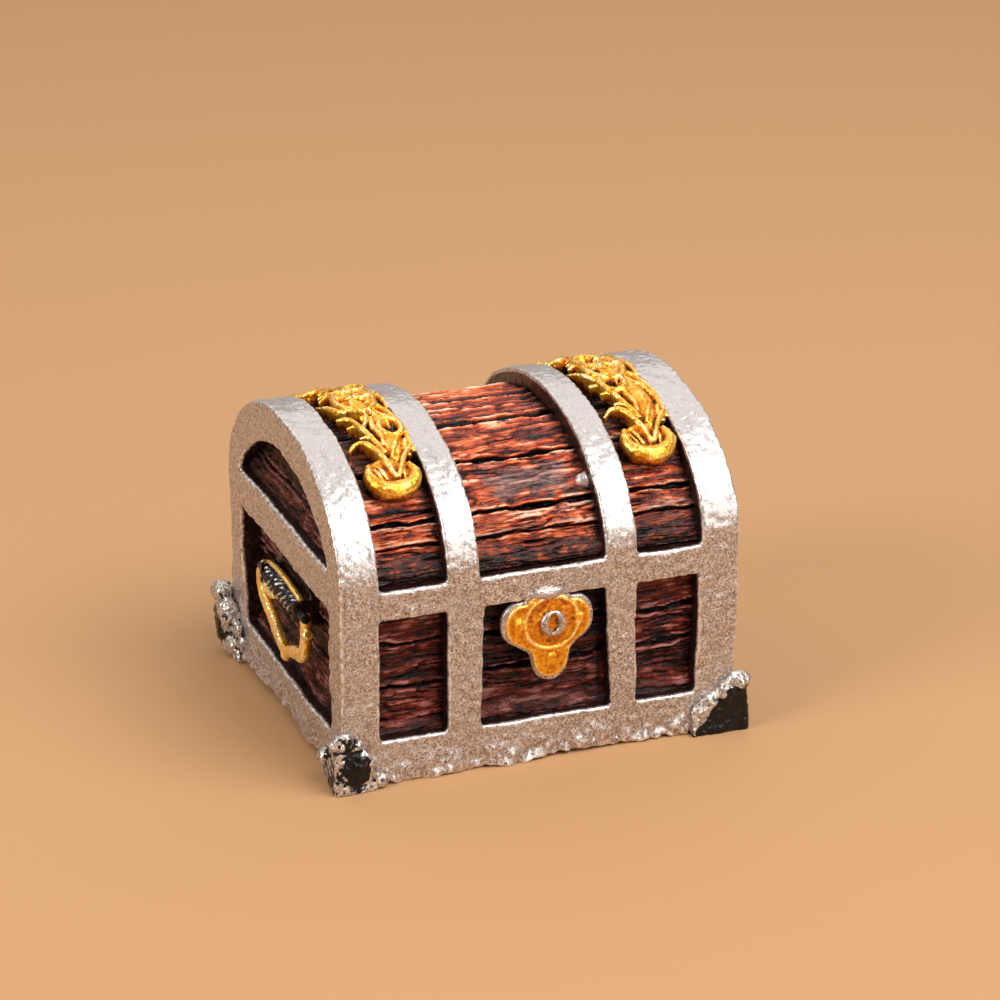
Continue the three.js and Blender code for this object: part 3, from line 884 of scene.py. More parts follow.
def planks(u, v, joints, seed, depth=1.0, grain=0.3, offset=0.18, fine=1.0):
    """How far carved planks lie below their face at (along, across), in mm, and their height from 0 to 1

    depth is that of the cracks and grain that of the figure; offset sets the planks at different levels.
    """
    here = plane(u, v, seed * 3.7)
    sunk = np.zeros_like(u)
    lines = [j + 0.45 * noise(plane(u, 0 * v + j), 7, seed) + jagged(u, j, seed + 1) for j in joints]
    order = sum((v > line).astype(int) for line in lines) if lines else np.zeros_like(u, int)
    sunk += offset * (lattice(order, order * 0 + seed, order * 0, 5) * 2 - 1) * (1 if lines else 0)
    for line in lines:
        gap = np.abs(v - line)
        width = 0.36 + 0.2 * noise(here, 2.2, seed + 2)
        lip = 0.28 + 0.2 * noise(here, 1.8, seed + 11)
        sunk += depth * np.exp(-((gap / width) ** 4)) - lip * np.exp(-(((gap - width - 0.4) / 0.28) ** 2))
    warp = (v + 0.8 * fractal(plane(u / 4, v / 2.2, seed), 2.2, 2, seed + 3)) * fine
    ridges = fractal(plane(u / 8, warp, seed), 1.25, 2, seed + 4)
    sunk += grain * (0.25 - 1.0 * ridges)
    crease = 1 - np.abs(noise(plane(u / 7, warp, seed + 0.5), 0.85, seed + 5))
    hair = 1 - np.abs(noise(plane(u / 4, warp, seed + 2.5), 0.5, seed + 9))
    deep = ease(noise(plane(u / 4, v, seed + 4.5), 2.0, seed + 10), -0.5, 0.5)
    sunk += grain * (1.5 * crease**7 * (0.3 + 0.9 * deep) + 0.7 * hair**5)
    split = noise(plane(u / 7, warp, seed + 9.1), 0.8, seed + 6)
    where = ease(noise(plane(u / 3, v, seed), 2.4, seed + 7), -0.1, 0.4)
    sunk += 0.5 * depth * ease(-split, 0.5, 0.75) * where
    sunk += 0.12 * ease(noise(here * (0.5, 1, 1), 0.7, seed + 8), 0.45, 0.8)
    return sunk, np.clip(0.78 - sunk * 0.95, 0, 1)


def jagged(u, edge, seed):
    """The small steps along a crack"""
    here = plane(u, 0 * u + edge)
    return 0.2 * noise(here, 1.5, seed) + 0.1 * noise(here, 0.6, seed + 1)


def near(value, edges, reach):
    """1 beside any of the edges, falling to 0 at reach"""
    gap = np.min([np.abs(value - edge) for edge in edges], axis=0)
    return ease(gap, reach, 0.0)


def grid(u0, u1, du, v0, v1, dv):
    nu, nv = max(2, round((u1 - u0) / du)), max(2, round((v1 - v0) / dv))
    return np.meshgrid(np.linspace(u0, u1, nu + 1), np.linspace(v0, v1, nv + 1))


# Steps of the grids along and across the planks, and the carving of the boards in the body
ALONG, ACROSS = 0.36 * COARSE, 0.15 * COARSE
BOARD_CARVING = {"depth": 0.7, "grain": 0.27, "offset": 0.12, "fine": 1.5}


def add_board(name, body, material, face, inner, pairs, flip=False):
    """A board between the grids of its two faces, with a pair of values for them under each key"""
    order = slice(None, None, -1 if flip else 1)
    points, faces = slab(face[:, order], inner[:, order])
    if body == "chest_body":
        points = shrink_below(points)
    values = {key: np.concatenate([one[:, order].ravel() for one in pair]) for key, pair in pairs.items()}
    add_piece(name + "_carved", points, faces, body, material, (name,), values, 60)


def long_boards(name, side, material, bays):
    """The boards behind the three windows of the front or the rear"""
    low, high = box_mm(name)
    u, v = grid(low[0] + 0.1, high[0] - 0.1, ALONG, low[2], high[2] - 0.15, ACROSS)
    sunk, relief = np.zeros_like(u), np.zeros_like(u)
    centre_bay = np.abs(u) <= BAY_SPLIT
    for bay, inside in enumerate((u < -BAY_SPLIT, centre_bay, u > BAY_SPLIT)):
        seed = 20 + bay + (30 if side > 0 else 0)
        bay_sunk, bay_relief = planks(u, v, bays[bay], seed, **BOARD_CARVING)
        sunk, relief = np.where(inside, bay_sunk, sunk), np.where(inside, bay_relief, relief)
    # dark wash and painted shade: near-black beside the bars and the edges of the windows, and the front
    # centre bay darkened throughout
    wash = np.maximum(near(u, BAY_EDGES, 1.0), near(v, (PANEL_LOW + 0.3, PANEL_HIGH), 1.1))
    wash = np.clip(wash * (1 + 0.5 * noise(plane(u, v), 0.8, 3)), 0, 1)
    wash = np.maximum(wash, 0.38 * (side < 0) * centre_bay)
    relief = relief + 0.1 * (u > BAY_SPLIT)
    fill = ease(v, PANEL_LOW + 2.4, PANEL_LOW + 0.6)
    face_y = side * (HALF_DEPTH - FRONT_SUNK - np.maximum(sunk, -0.25) + fill)
    inner_sunk, inner_relief = planks(u, v, bays[1], 70, 0.5, 0.25)
    inner_y = side * (HALF_DEPTH - FRONT_SUNK - BOARD_THICKNESS + np.clip(inner_sunk, 0, 0.6) * 0.6)
    face, inner = np.stack([u, face_y, v], axis=-1), np.stack([u, inner_y, v], axis=-1)
    pairs = {"relief": (relief, inner_relief), "wash": (wash * 0.85, 0 * wash)}
    add_board(name, "chest_body", material, face, inner, pairs, side > 0)


def add_end_board(name, body, material, side, u, v, sunk, relief, wash, fill):
    """A board in one end of the chest, from grids across it and up it"""
    level = HALF_WIDTH - END_SUNK
    face = np.stack([side * (level - np.maximum(sunk, -0.25) + fill), u, v], axis=-1)
    inner = np.stack([side * (level - BOARD_THICKNESS + 0.2 * (1 - relief)), u, v], axis=-1)
    pairs = {"relief": (relief, relief), "wash": (wash * 0.9, 0 * wash)}
    add_board(name, body, material, face, inner, pairs, side < 0)


def end_boards(name, side, material):
    """The boards of one end of the body"""
    low, high = box_mm(name)
    u, v = grid(low[1], high[1], ALONG, low[2], high[2] - 0.15, ACROSS)
    sunk, relief = planks(u, v, (22.3, 15.2), 40 + (side > 0), **BOARD_CARVING)
    # dark wash and painted shade beside the posts and the edges of the window
    wash = np.maximum(near(u, (-END_OPEN, END_OPEN), 2.2), near(v, (PANEL_LOW, PANEL_HIGH + 0.4), 1.2))
    fill = 1.4 * ease(v, PANEL_LOW + 3.0, PANEL_LOW + 0.4) * ease(np.abs(u), END_OPEN + 0.2, END_OPEN - 1.5)
    add_end_board(name, "chest_body", material, side, u, v, sunk, relief, wash, fill)


def lid_end_board(name, side, material):
    """The half-moon of planks in one end of the lid"""
    half = HALF_DEPTH - FRONT_SUNK - 2.3
    u, share = grid(-half, half, ALONG, 0.0, 1.0, 0.0088 * COARSE)
    round_top = np.sqrt(np.maximum(1 - (u / (half + 0.02)) ** 2, 0.0004))
    top = RIM + 0.2 + (LID_RISE - FRONT_SUNK - 2.4) * round_top
    v = RIM + 0.2 + share * (top - RIM - 0.2)
    sunk, relief = planks(u, v, (40.6, 45.4), 60 + (side > 0), 0.7, 0.28, 0.12, 1.5)
    spread = np.maximum(1 - (np.abs(u) / MOON_HALF) ** MOON_POWER, 0) ** (1 / MOON_POWER)
    moon_top = MOON_LOW + MOON_RISE * spread
    # dark wash and painted shade along the half-moon's edges, and its rear part darkened to near-black
    wash = np.maximum(ease(np.abs(v - moon_top), 1.2, 0.2), near(v, (MOON_LOW,), 0.8))
    wash = np.maximum(wash, 0.9 * ease(u, 14, 19))
    fill = 0.7 + 0.9 * ease(v, MOON_LOW + 3.0, MOON_LOW + 0.2)
    add_end_board(name, "lid", material, side, u, v, sunk, relief, wash, fill)


def stave_crack(u, across, edge):
    """The ragged crack at one edge of a stave, with the lip beside it"""
    line = plane(u, 0 * u + edge)
    gap = np.abs(across - edge * DEGREE - 0.3 * noise(line, 5, edge) - jagged(u, edge, edge + 1))
    width = 0.5 + 0.26 * noise(line, 2.6, edge + 2) + 0.25 * (60 < edge < 120)
    lip = 0.32 + 0.16 * noise(line, 1.6, edge + 3)
    return np.exp(-((gap / width) ** 4)) * 1.3 - lip * np.exp(-(((gap - width - 0.4) / 0.28) ** 2))


def lid_stave(index, material):
    """One plank of the lid, which runs under the bands through all three bays"""
    name = f"lid_stave_{index + 1}"
    start, stop = STAVE_EDGES[index], STAVE_EDGES[index + 1]
    low, high = box_mm(name)
    step = 0.14 * COARSE / ((stop - start) * DEGREE)
    u, share = grid(low[0] + 0.1, high[0] - 0.1, 0.34 * COARSE, 0.0, 1.0, step)
    degrees = start + (stop - start) * share
    across = degrees * DEGREE
    here = plane(u, across)
    joints = [place * DEGREE for place in (17, 90, 163) if start < place < stop]
    sunk, relief = planks(u, across, joints, 80 + 5 * index, 0.5, 0.3)
    for edge in (start, stop):
        if 0 < edge < 180:
            crack = stave_crack(u, across, edge)
            sunk, relief = sunk + crack, relief - crack
    level = 0.35 * noise(plane(0 * u + index, np.sign(u) * (np.abs(u) > BAY_SPLIT)), 0.7, index)
    low_down = np.minimum(degrees, 180 - degrees)
    edge_on = ease(low_down, 15, 2)
    sunk = sunk - level * 0.4 - 1.3 * edge_on
    sunk = np.clip(sunk, -0.4 - 1.3 * edge_on, 1.75)

    # black wash and painted shade beside the bands, along the rims, low on the front and round the
    # scrollwork
    wash = near(u, BAY_EDGES, 1.3)
    wash = np.maximum(wash, near(u, (STRAP_IN, -STRAP_OUT, POST), 2.1) * (degrees < 90))
    wash = np.maximum(wash, 0.9 * ease(low_down, 15, 6))
    cloudy = 0.34 + 0.2 * noise(plane(u, across * 3), 2.4, 7)
    wash = np.maximum(wash, cloudy * ease(low_down, 38, 20))
    halo = low_down + 4 * np.exp(-(((np.abs(u) - 22.4) / 3.5) ** 2))
    wash = np.maximum(wash, 0.86 * (np.abs(u) > BAY_SPLIT) * ease(halo, 42, 46))
    wash = np.clip(wash * (1 + 0.6 * noise(here, 0.9, 4)), 0, 1)

    face = np.stack([u, *lid_curve(degrees, FRONT_SUNK + sunk)], axis=-1)
    inner_depth = FRONT_SUNK + BOARD_THICKNESS - 0.15 * (1 - relief)
    inner = np.stack([u, *lid_curve(degrees, inner_depth)], axis=-1)
    pairs = {"relief": (np.clip(relief, 0, 1), relief * 0.8), "wash": (wash * 0.92, 0 * wash)}
    if index == 1:
        # the worn grey patch on the centre bay
        patch = ease(np.abs(u - 1.0) + 1.5 * noise(here, 2, 8), 8.5, 6) * ease(relief, 0.1, 0.4)
        patch *= ease(np.abs(degrees - 42) + 4 * noise(here, 1.4, 9), 9, 6)
        patch *= 0.85 + 0.15 * noise(plane(u / 5, across), 0.45, 10)
        pairs["bare"] = (patch, 0 * patch)
    add_board(name, "lid", material, face, inner, pairs)


# ---------------------------------------------------------------- gold scrollwork

# Each strand runs through (across in mm, angle round the lid, height above the wood, half width)
SCROLL_STRANDS = (
    ((-3.2, 56, 2.4, 0.5), (-3.9, 51, 2.8, 0.85), (-2.9, 46, 2.8, 1.25), (-1.1, 43.6, 2.7, 1.55),
     (1.2, 43.6, 2.7, 1.55), (3.0, 46, 2.8, 1.25), (3.9, 50, 2.8, 0.9), (3.5, 55, 2.4, 0.5)),
    ((-1.4, 63, 2.9, 0.45), (-0.5, 57, 3.3, 0.5), (0.4, 48, 3.2, 0.35)),
    ((5.0, 63, 2.6, 0.4), (2.9, 57, 3.1, 0.45), (0.7, 48.5, 3.2, 0.35)),
    ((1.1, 58, 2.6, 0.4), (2.2, 63, 2.9, 0.5), (3.2, 66.5, 3.0, 0.5)),
    ((-0.7, 61, 3.0, 0.5), (-2.1, 65.5, 3.0, 0.5), (-3.8, 66.5, 2.8, 0.4), (-5.3, 64, 2.2, 0.2)),
    ((0.3, 60, 3.0, 0.45), (-0.6, 67, 3.1, 0.5), (-1.6, 74, 3.2, 0.5), (-2.6, 80, 3.1, 0.45),
     (-4.4, 83, 2.5, 0.22)),
    ((-1.4, 74, 3.0, 0.35), (-0.2, 78, 3.1, 0.4), (0.8, 82, 3.2, 0.4)),
    ((5.3, 60, 2.3, 0.35), (5.4, 68, 2.6, 0.5), (5.2, 76, 2.9, 0.5), (4.4, 83, 3.1, 0.45),
     (3.6, 87, 3.3, 0.4)),
    ((4.3, 58, 2.4, 0.35), (4.0, 62, 2.7, 0.4), (4.6, 66, 2.8, 0.4)),
    ((0.6, 64, 3.0, 0.35), (0.9, 69, 3.1, 0.4), (0.4, 74, 3.2, 0.4), (1.0, 79, 3.3, 0.35)),
    ((-2.4, 70, 2.4, 0.25), (-1.4, 69, 2.9, 0.35), (-0.2, 66, 3.0, 0.3)),
    ((-3.6, 77, 2.4, 0.2), (-2.4, 76, 2.9, 0.35), (-1.2, 73, 3.0, 0.35)),
    ((4.9, 72, 2.9, 0.3), (4.2, 78, 3.1, 0.35), (3.0, 81, 3.2, 0.35), (2.2, 85, 3.4, 0.35)),
)
CREST_STRANDS = (
    ((-5.6, 96, 2.3, 0.2), (-4.2, 92, 2.8, 0.4), (-3.4, 88, 3.0, 0.4), (-2.2, 85, 3.1, 0.4)),
    ((-2.4, 96, 3.5, 0.4), (-0.4, 95, 3.7, 0.4), (1.4, 96, 3.7, 0.4), (3.2, 99, 3.5, 0.4)),
    ((5.2, 86, 2.8, 0.35), (5.5, 92, 3.0, 0.45), (5.3, 99, 3.0, 0.45), (4.6, 105, 2.8, 0.35)),
    ((3.0, 90, 3.5, 0.35), (2.6, 94, 3.6, 0.4), (3.4, 97, 3.5, 0.35)),
)
# Closed loops: (across, angle, half width across, half width round the lid in degrees, height, half width)
LEFT_RING = (3.2, 73, 1.75, 4.8, 3.2, 0.5)
RIGHT_RING = (-0.6, 81, 2.0, 5.4, 3.5, 0.55)
CREST_RINGS = (
    (1.1, 91.5, 1.45, 3.4, 3.6, 0.42), (0.4, 93, 3.2, 9.5, 3.5, 0.55), (-0.7, 98.5, 1.2, 2.8, 3.6, 0.36),
)
# Ribs of the shell at the end, each from one (across, angle) to another
SHELL_RIBS = (
    ((1.7, 55), (1.0, 48)), ((2.5, 54), (1.8, 47.5)), ((-1.9, 55), (-1.0, 48)), ((-2.7, 54), (-1.8, 47)),
)
SHELL_ANGLE = 49.5
# The solid ground under the strands, as one wide strand
GROUND = (
    (1.6, 57, 1.5, 1.3), (2.2, 63, 1.5, 1.9), (2.6, 70, 1.5, 2.3), (2.2, 79, 1.6, 2.0), (1.0, 86, 1.8, 2.3),
    (0.5, 91, 1.9, 3.0),
)
# The holes, painted dark as shade: (across, angle, radius)
HOLES = ((1.1, 91.5, 0.9), (-0.7, 98.5, 0.85), (-1.6, 90, 0.6), (2.9, 93.5, 0.5), (1.2, 82, 0.45))
CREST = 91.5


def ribbon(middle, controls, mirror=None, closed=False, skirt=0.62):
    """A strand of the scrollwork, from the wood up to its rounded top"""
    run = curve(controls, 7, closed)
    degrees = mirror - run[:, 1] if mirror else run[:, 1]
    path = on_lid(middle + run[:, 0], degrees, FRONT_SUNK - run[:, 2])
    right = [(0.8, -1), (1, -0.25), (0.9, 0.3), (0.5, 0.72)]
    outline = [(-0.8, -1), *right, (0, 0.9)] + [(-a, b) for a, b in right[:0:-1]]
    sections = np.array(outline)[None] * run[:, 3, None, None]
    sections[:, :2, 1] = -(run[:, 2] * skirt + 0.15)[:, None]
    return sweep(path, lid_normal(degrees), sections, closed)


def loop(ring):
    """The points of a closed strand"""
    across, degrees, wide, long, height, half = ring
    return [(across + wide * math.cos(t), degrees + long * math.sin(t), height, half) for t in circle(10)]


def shell_back(middle, degrees):
    """The thick round underside of a scallop shell"""
    up = lid_normal(np.array(degrees))
    spot = on_lid(middle, np.array(degrees), FRONT_SUNK)
    side = np.cross((1, 0, 0), up)
    levels = ((-0.8, 3.2), (0.5, 4.1), (1.4, 4.2), (2.2, 3.5))
    rings = []
    for height, radius in levels:
        for t in circle(24):
            outward = math.cos(t) * np.array((1.05, 0, 0)) + math.sin(t) * side
            rings.append(spot + up * height + radius * outward)
    return np.array(rings), tiles(len(levels), 24)


def filigree_shells(middle, ring):
    """The strands of one bay; those of the front half are repeated at the rear"""
    shells = []
    for mirror in (None, 2 * CREST):
        shells += [ribbon(middle, controls, mirror) for controls in SCROLL_STRANDS]
        shells.append(ribbon(middle, loop(ring), mirror, True))
        for (a0, d0), (a1, d1) in SHELL_RIBS:
            rib = ((a0, d0, 2.5, 0.22), ((a0 + a1) / 2, (d0 + d1) / 2, 2.8, 0.28), (a1, d1, 2.7, 0.22))
            shells.append(ribbon(middle, rib, mirror))
        shells.append(ribbon(middle, GROUND, mirror, skirt=0.9))
        shells.append(shell_back(middle, mirror - SHELL_ANGLE if mirror else SHELL_ANGLE))
    shells += [ribbon(middle, controls) for controls in CREST_STRANDS]
    shells += [ribbon(middle, loop(one), None, True) for one in CREST_RINGS]
    return shells


def above_wood(points):
    """The height over the wood, the angle round the lid and the way up, at each point"""
    y, z = points[:, 1], points[:, 2] - RIM
    reach = np.sqrt((y / HALF_DEPTH) ** 2 + (z / LID_RISE) ** 2)
    level = np.degrees(np.arctan2(z / LID_RISE, -y / HALF_DEPTH))
    surface_y, surface_z = lid_curve(level, 0)
    span = np.hypot(surface_y, surface_z - RIM)
    ups = lid_normal(level)
    steep = np.abs(ups[:, 1] * surface_y + ups[:, 2] * (surface_z - RIM)) / span
    return (reach - 1) * span * steep + FRONT_SUNK, level, ups


def make_filigree(name, middle, ring, material):
    """The scrollwork of one outer bay"""
    points, faces = cast(filigree_shells(middle, ring), 0.15, 2)
    height, level, ups = above_wood(points)
    holes = np.zeros_like(height)
    for across, degrees, radius in ((ring[0], ring[1], 0.62 * ring[2]), *HOLES):
        for there in {degrees, 2 * CREST - degrees if degrees < 85 else degrees}:
            gap = np.hypot(points[:, 0] - middle - across, (level - there) * 0.42)
            holes = np.maximum(holes, np.exp(-((gap / radius) ** 4)))
    holes *= ease(height, 0.8, 1.6)
    points = roughen(points, faces, 0.1 * noise(points, 1.2, 21) + 0.05 * noise(points, 0.6, 22))
    points -= ups * (np.maximum(height - 0.9, 0) * holes)[:, None]
    stands = np.clip(cavity(points, faces, 4) * 4.5, -0.4, 0.42)
    # painted shade: the holes go near-black; the strands also darken towards the wood
    relief = 0.18 + 0.42 * ease(height, 0.9, 3.1) + stands - 0.85 * holes
    relief += 0.14 * noise(points, 1.6, 23) - 0.25 * ease(height, 0.9, 0.2)
    add_piece(name + "_scroll", points, faces, "lid", material, (name,), {"relief": relief})


# ---------------------------------------------------------------- lock


# The right half of the trefoil, from its top to the tip of its tongue, about a point in its middle
TREFOIL = [
    (0, 6.1), (2.4, 5.7), (4.2, 4.3), (6.2, 4.0), (7.8, 2.2), (8.1, -0.3), (7.2, -2.5), (5.2, -4.1),
    (4.0, -5.2), (3.6, -6.8), (3.1, -8.6), (1.8, -10.0), (0, -10.5),
]


def trefoil():
    """The outline of the lock, whose tongue is narrower and leans to the right"""
    controls = []
    for a, b in mirrored(TREFOIL):
        tongue = ease(b, -3, -6)
        controls.append((a * (1 - 0.07 * tongue) + 0.5 * tongue, b))
    return curve(controls, 4, closed=True)


def upright_ring(x, y, z, half_width, half_height):
    """Points round an ellipse that faces the front"""
    turns = circle(36)
    depths = np.full(len(turns), y)
    return np.stack([x + half_width * np.cos(turns), depths, z + half_height * np.sin(turns)], axis=-1)


def make_lock(gold, silver):
    """A silver plate, the gold trefoil on it with its raised ring, and the keyhole ring"""
    low, high = box_mm("lock_plate")
    x, z, front = (low[0] + high[0]) / 2 + 0.15, 24.7, low[1]
    outer = trefoil()
    facing = (0, -1, 0)
    plate = prism(outer + (x, z), "y", front + 0.75, front + 1.75)
    cap = ball((x + 0.1, front + 0.8, z + 5.3), 1.0, (3.4, 0.95, 1.15))
    points, faces = cast([plate, cap], 0.18, 3)
    points = roughen(points, faces, 0.12 * fractal(points, 1.8, 2, 31))
    flush = {"inset": 0 * points[:, 0]}
    add_piece("lock_rim", points, faces, "chest_body", silver, (), flush)

    middle = np.array((0, -0.9))
    inner = middle + (outer - middle) * 0.91
    shells = [
        prism(inner + (x, z), "y", front + 0.35, front + 1.6),
        prism(outer * 0.86 + (x, z), "y", front + 1.2, high[1] + 0.3),
    ]
    centre = (x + 0.55, z + 0.1)
    ring = upright_ring(centre[0], front + 0.5, centre[1], 4.7, 4.6)
    shells.append(sweep(ring, facing, round_section(0.38), closed=True))
    for side in (-1, 1):
        shells.append(ball((x + side * 5.3, front + 1.9, z + 0.2), 2.5, (0.95, 0.75, 1.3)))
    shells.append(ball((x + 0.5, front + 1.9, z - 6.6), 2.6, (0.95, 0.72, 1.15)))
    points, faces = cast(shells, 0.16, 2)
    points = roughen(points, faces, 0.09 * fractal(points, 1.5, 2, 33) + 0.04 * noise(points, 0.5, 34))
    # painted shadow: the trefoil goes dark behind its front face, under the silver rim; the raised ring gets
    # a painted highlight
    edge = ease(points[:, 1], front + 1.5, front + 0.7)
    moat = np.hypot(points[:, 0] - centre[0], points[:, 2] - centre[1])
    stands = np.clip(cavity(points, faces, 5) * 4.5, -0.1, 0.36)
    relief = 0.04 + 0.46 * edge + stands + 0.08 * noise(points, 0.8, 35)
    relief += 0.2 * np.exp(-(((moat - 4.7) / 0.45) ** 2)) - 0.05 * ease(moat, 4.6, 3.8)
    add_cast("lock_plate", points, faces, gold, relief)

    path = upright_ring(centre[0] + 0.1, front - 0.05, centre[1], 1.55, 1.9)
    sections = round_section(0.72)[None] * (0.45 + 0.55 * np.abs(np.cos(circle(36))))[:, None, None]
    points, faces = cast([sweep(path, facing, sections, closed=True)], 0.14, 3)
    points = roughen(points, faces, 0.06 * noise(points, 0.8, 36))
    flush = {"inset": 0 * points[:, 0]}
    node = "keyhole_ring"
    add_piece(node + "_cast", points, faces, "chest_body", silver, (node,), flush)


# ---------------------------------------------------------------- handles


# The two arms of the bail, from the barrel down to the point: (along the end, up, half width)
REAR_ARM = (
    (10.5, 0.2, 1.15), (12.2, -1.0, 1.25), (13.0, -2.8, 1.25), (12.4, -5.0, 1.25), (9.5, -6.9, 1.3),
    (6.1, -8.6, 1.3), (2.9, -10.2, 1.2), (0.0, -11.6, 1.0),
)
FRONT_ARM = (
    (10.9, 0.2, 1.0), (11.4, -1.4, 1.1), (11.4, -3.4, 1.1), (11.1, -5.6, 1.2), (9.8, -7.9, 1.35),
    (6.4, -8.9, 1.3), (2.8, -10.2, 1.1), (0.0, -11.6, 1.0),
)
# The tab that turns inward from each arm: (back along the arm's side, up, radius)
TAB = ((0, -2.8, 0.9), (2.8, -3.3, 1.0), (5.2, -3.4, 0.95), (7, -3.0, 0.6))


def at_end(side, y, z, proud):
    """A place over one end of the chest, from the middle of its barrel"""
    return side * HALF_WIDTH + side * proud, y, BARREL_Z + z


def handle_plate(side, node, gold):
    """The black plate behind the barrel, with a gilt hood over it and an ear at each end of it"""
    half = [(0, 4.1), (5, 3.6), (8.8, 2.5), (9.4, 0), (8.4, -3.0), (4.4, -4.7), (0, -5.4)]
    x0, x1 = sorted((side * (HALF_WIDTH - 3.9), side * (HALF_WIDTH - 2.0)))
    shells = [prism(curve(mirrored(half), 4, closed=True) + (0, BARREL_Z), "x", x0, x1)]
    hood = curve([(-9.3, 1.5), (-8.0, 2.1), (-4, 2.5), (0, 2.7), (4, 2.6), (8.2, 2.1), (9.3, 1.5)], 8)
    path = [at_end(side, a, b, -0.3) for a, b in hood]
    shells.append(sweep(path, (side, 0, 0), round_section(0.4) * (1, 1.5)))
    x0, x1 = sorted((side * (HALF_WIDTH + 1.3), side * (HALF_WIDTH - 3.2)))
    for end in (-1, 1):
        y0, y1 = sorted((end * 8.4, end * 9.4))
        shells.append(block(x0, x1, y0, y1, BARREL_Z - 1.7, BARREL_Z + 1.9))
    points, faces = cast(shells, 0.2, 3)
    points = roughen(points, faces, 0.08 * fractal(points, 1.6, 2, 41))
    gilt = ease(points[:, 2], BARREL_Z + 1.9, BARREL_Z + 2.2)
    gilt = gilt * ease(points[:, 0] * side, HALF_WIDTH - 2.2, HALF_WIDTH - 1.2)
    stands = np.clip(cavity(points, faces, 5) * 3, -0.3, 0.35)
    relief = 0.02 + 0.62 * gilt + gilt * stands + 0.08 * noise(points, 1.2, 42)
    add_cast(node, points, faces, gold, relief)


def handle_bail(side, name, gold):
    """Two arms that meet in a point, with a knob there and a tab on each arm"""
    outward = (side, 0, 0)
    section = round_section(1.0, 12)
    square = np.sign(section) * np.abs(section) ** 0.7
    shells = []
    for end, arm in ((-1, FRONT_ARM), (1, REAR_ARM)):
        run = curve(arm, 7)
        path = [at_end(side, end * a + 0.7, b, -0.5) for a, b, _ in run]
        shells.append(sweep(path, outward, [square * (width, 0.95) for _, _, width in run]))
    shells.append(ball(at_end(side, 0, -11.6, -0.4), 1.3, (0.9, 1, 1)))
    for end, reach in ((-1, 0.35), (1, 1.0)):
        path = [at_end(side, end * (12.5 - a * reach), b, -0.4) for a, b, _ in TAB]
        shells.append(sweep(path, outward, [round_section(radius, 12) for _, _, radius in TAB]))
    points, faces = cast(shells, 0.2, 3)
    points = roughen(points, faces, 0.09 * fractal(points, 1.6, 2, 43))
    stands = np.clip(cavity(points, faces, 5) * 3, -0.3, 0.35)
    # painted light: the outer face of the arms is lighter than their shaded sides
    proud = ease(points[:, 0] * side - HALF_WIDTH, -0.6, 0.9)
    relief = {"relief": 0.63 + 0.2 * proud + stands + 0.12 * noise(points, 1.2, 44)}
    body, node = f"{name}_bail", f"{name}_handle_bail"
    add_piece(body + "_cast", points, faces, body, gold, (node,), relief)


def handle_barrel(side, node, barrel):
    """Twisted ridges between two plain ends"""
    around = 40
    ys = np.linspace(-7.95, 7.95, 200)
    turns = circle(around)
    ridges = 1.4 + 0.24 * np.cos(5 * turns[None] - ys[:, None] * 3.4)
    ends = np.repeat([0.5, 0.8, 0.8], around).reshape(3, around)
    radii = np.concatenate([ends, ridges, ends[::-1]])
    path = [at_end(side, y, 0, 0) for y in (-12.4, -12.3, -7.96, *ys, 7.96, 12.3, 12.4)]
    sections = radii[..., None] * np.stack([np.cos(turns), np.sin(turns)], -1)[None]
    points, faces = sweep(path, (side, 0, 0), sections)
    relief = {"relief": ease(radii.ravel(), 1.3, 1.64) * 0.5 + 0.34 * noise(points, 0.7, 45)}
    add_piece(node + "_turned", points, faces, "chest_body", barrel, (node,), relief, 50)


def make_handle(side, name, gold, barrel):
    handle_plate(side, f"{name}_handle_plate", gold)
    handle_bail(side, name, gold)
    handle_barrel(side, f"{name}_handle_pin", barrel)


# ---------------------------------------------------------------- feet


# Lumps along the rim on each face, and how much narrower the foot with the discs is
RIM_LUMPS = 16
DISC_SIZE = 0.62
# The levels of the core: (height, reach along each face, how far it stands out)
FOOT_LEVELS = ((0, 9.8, 1.9), (1.5, 8.4, 1.9), (4, 6.0, 1.8), (7, 3.2, 1.6), (9.4, 1.2, 0.9))


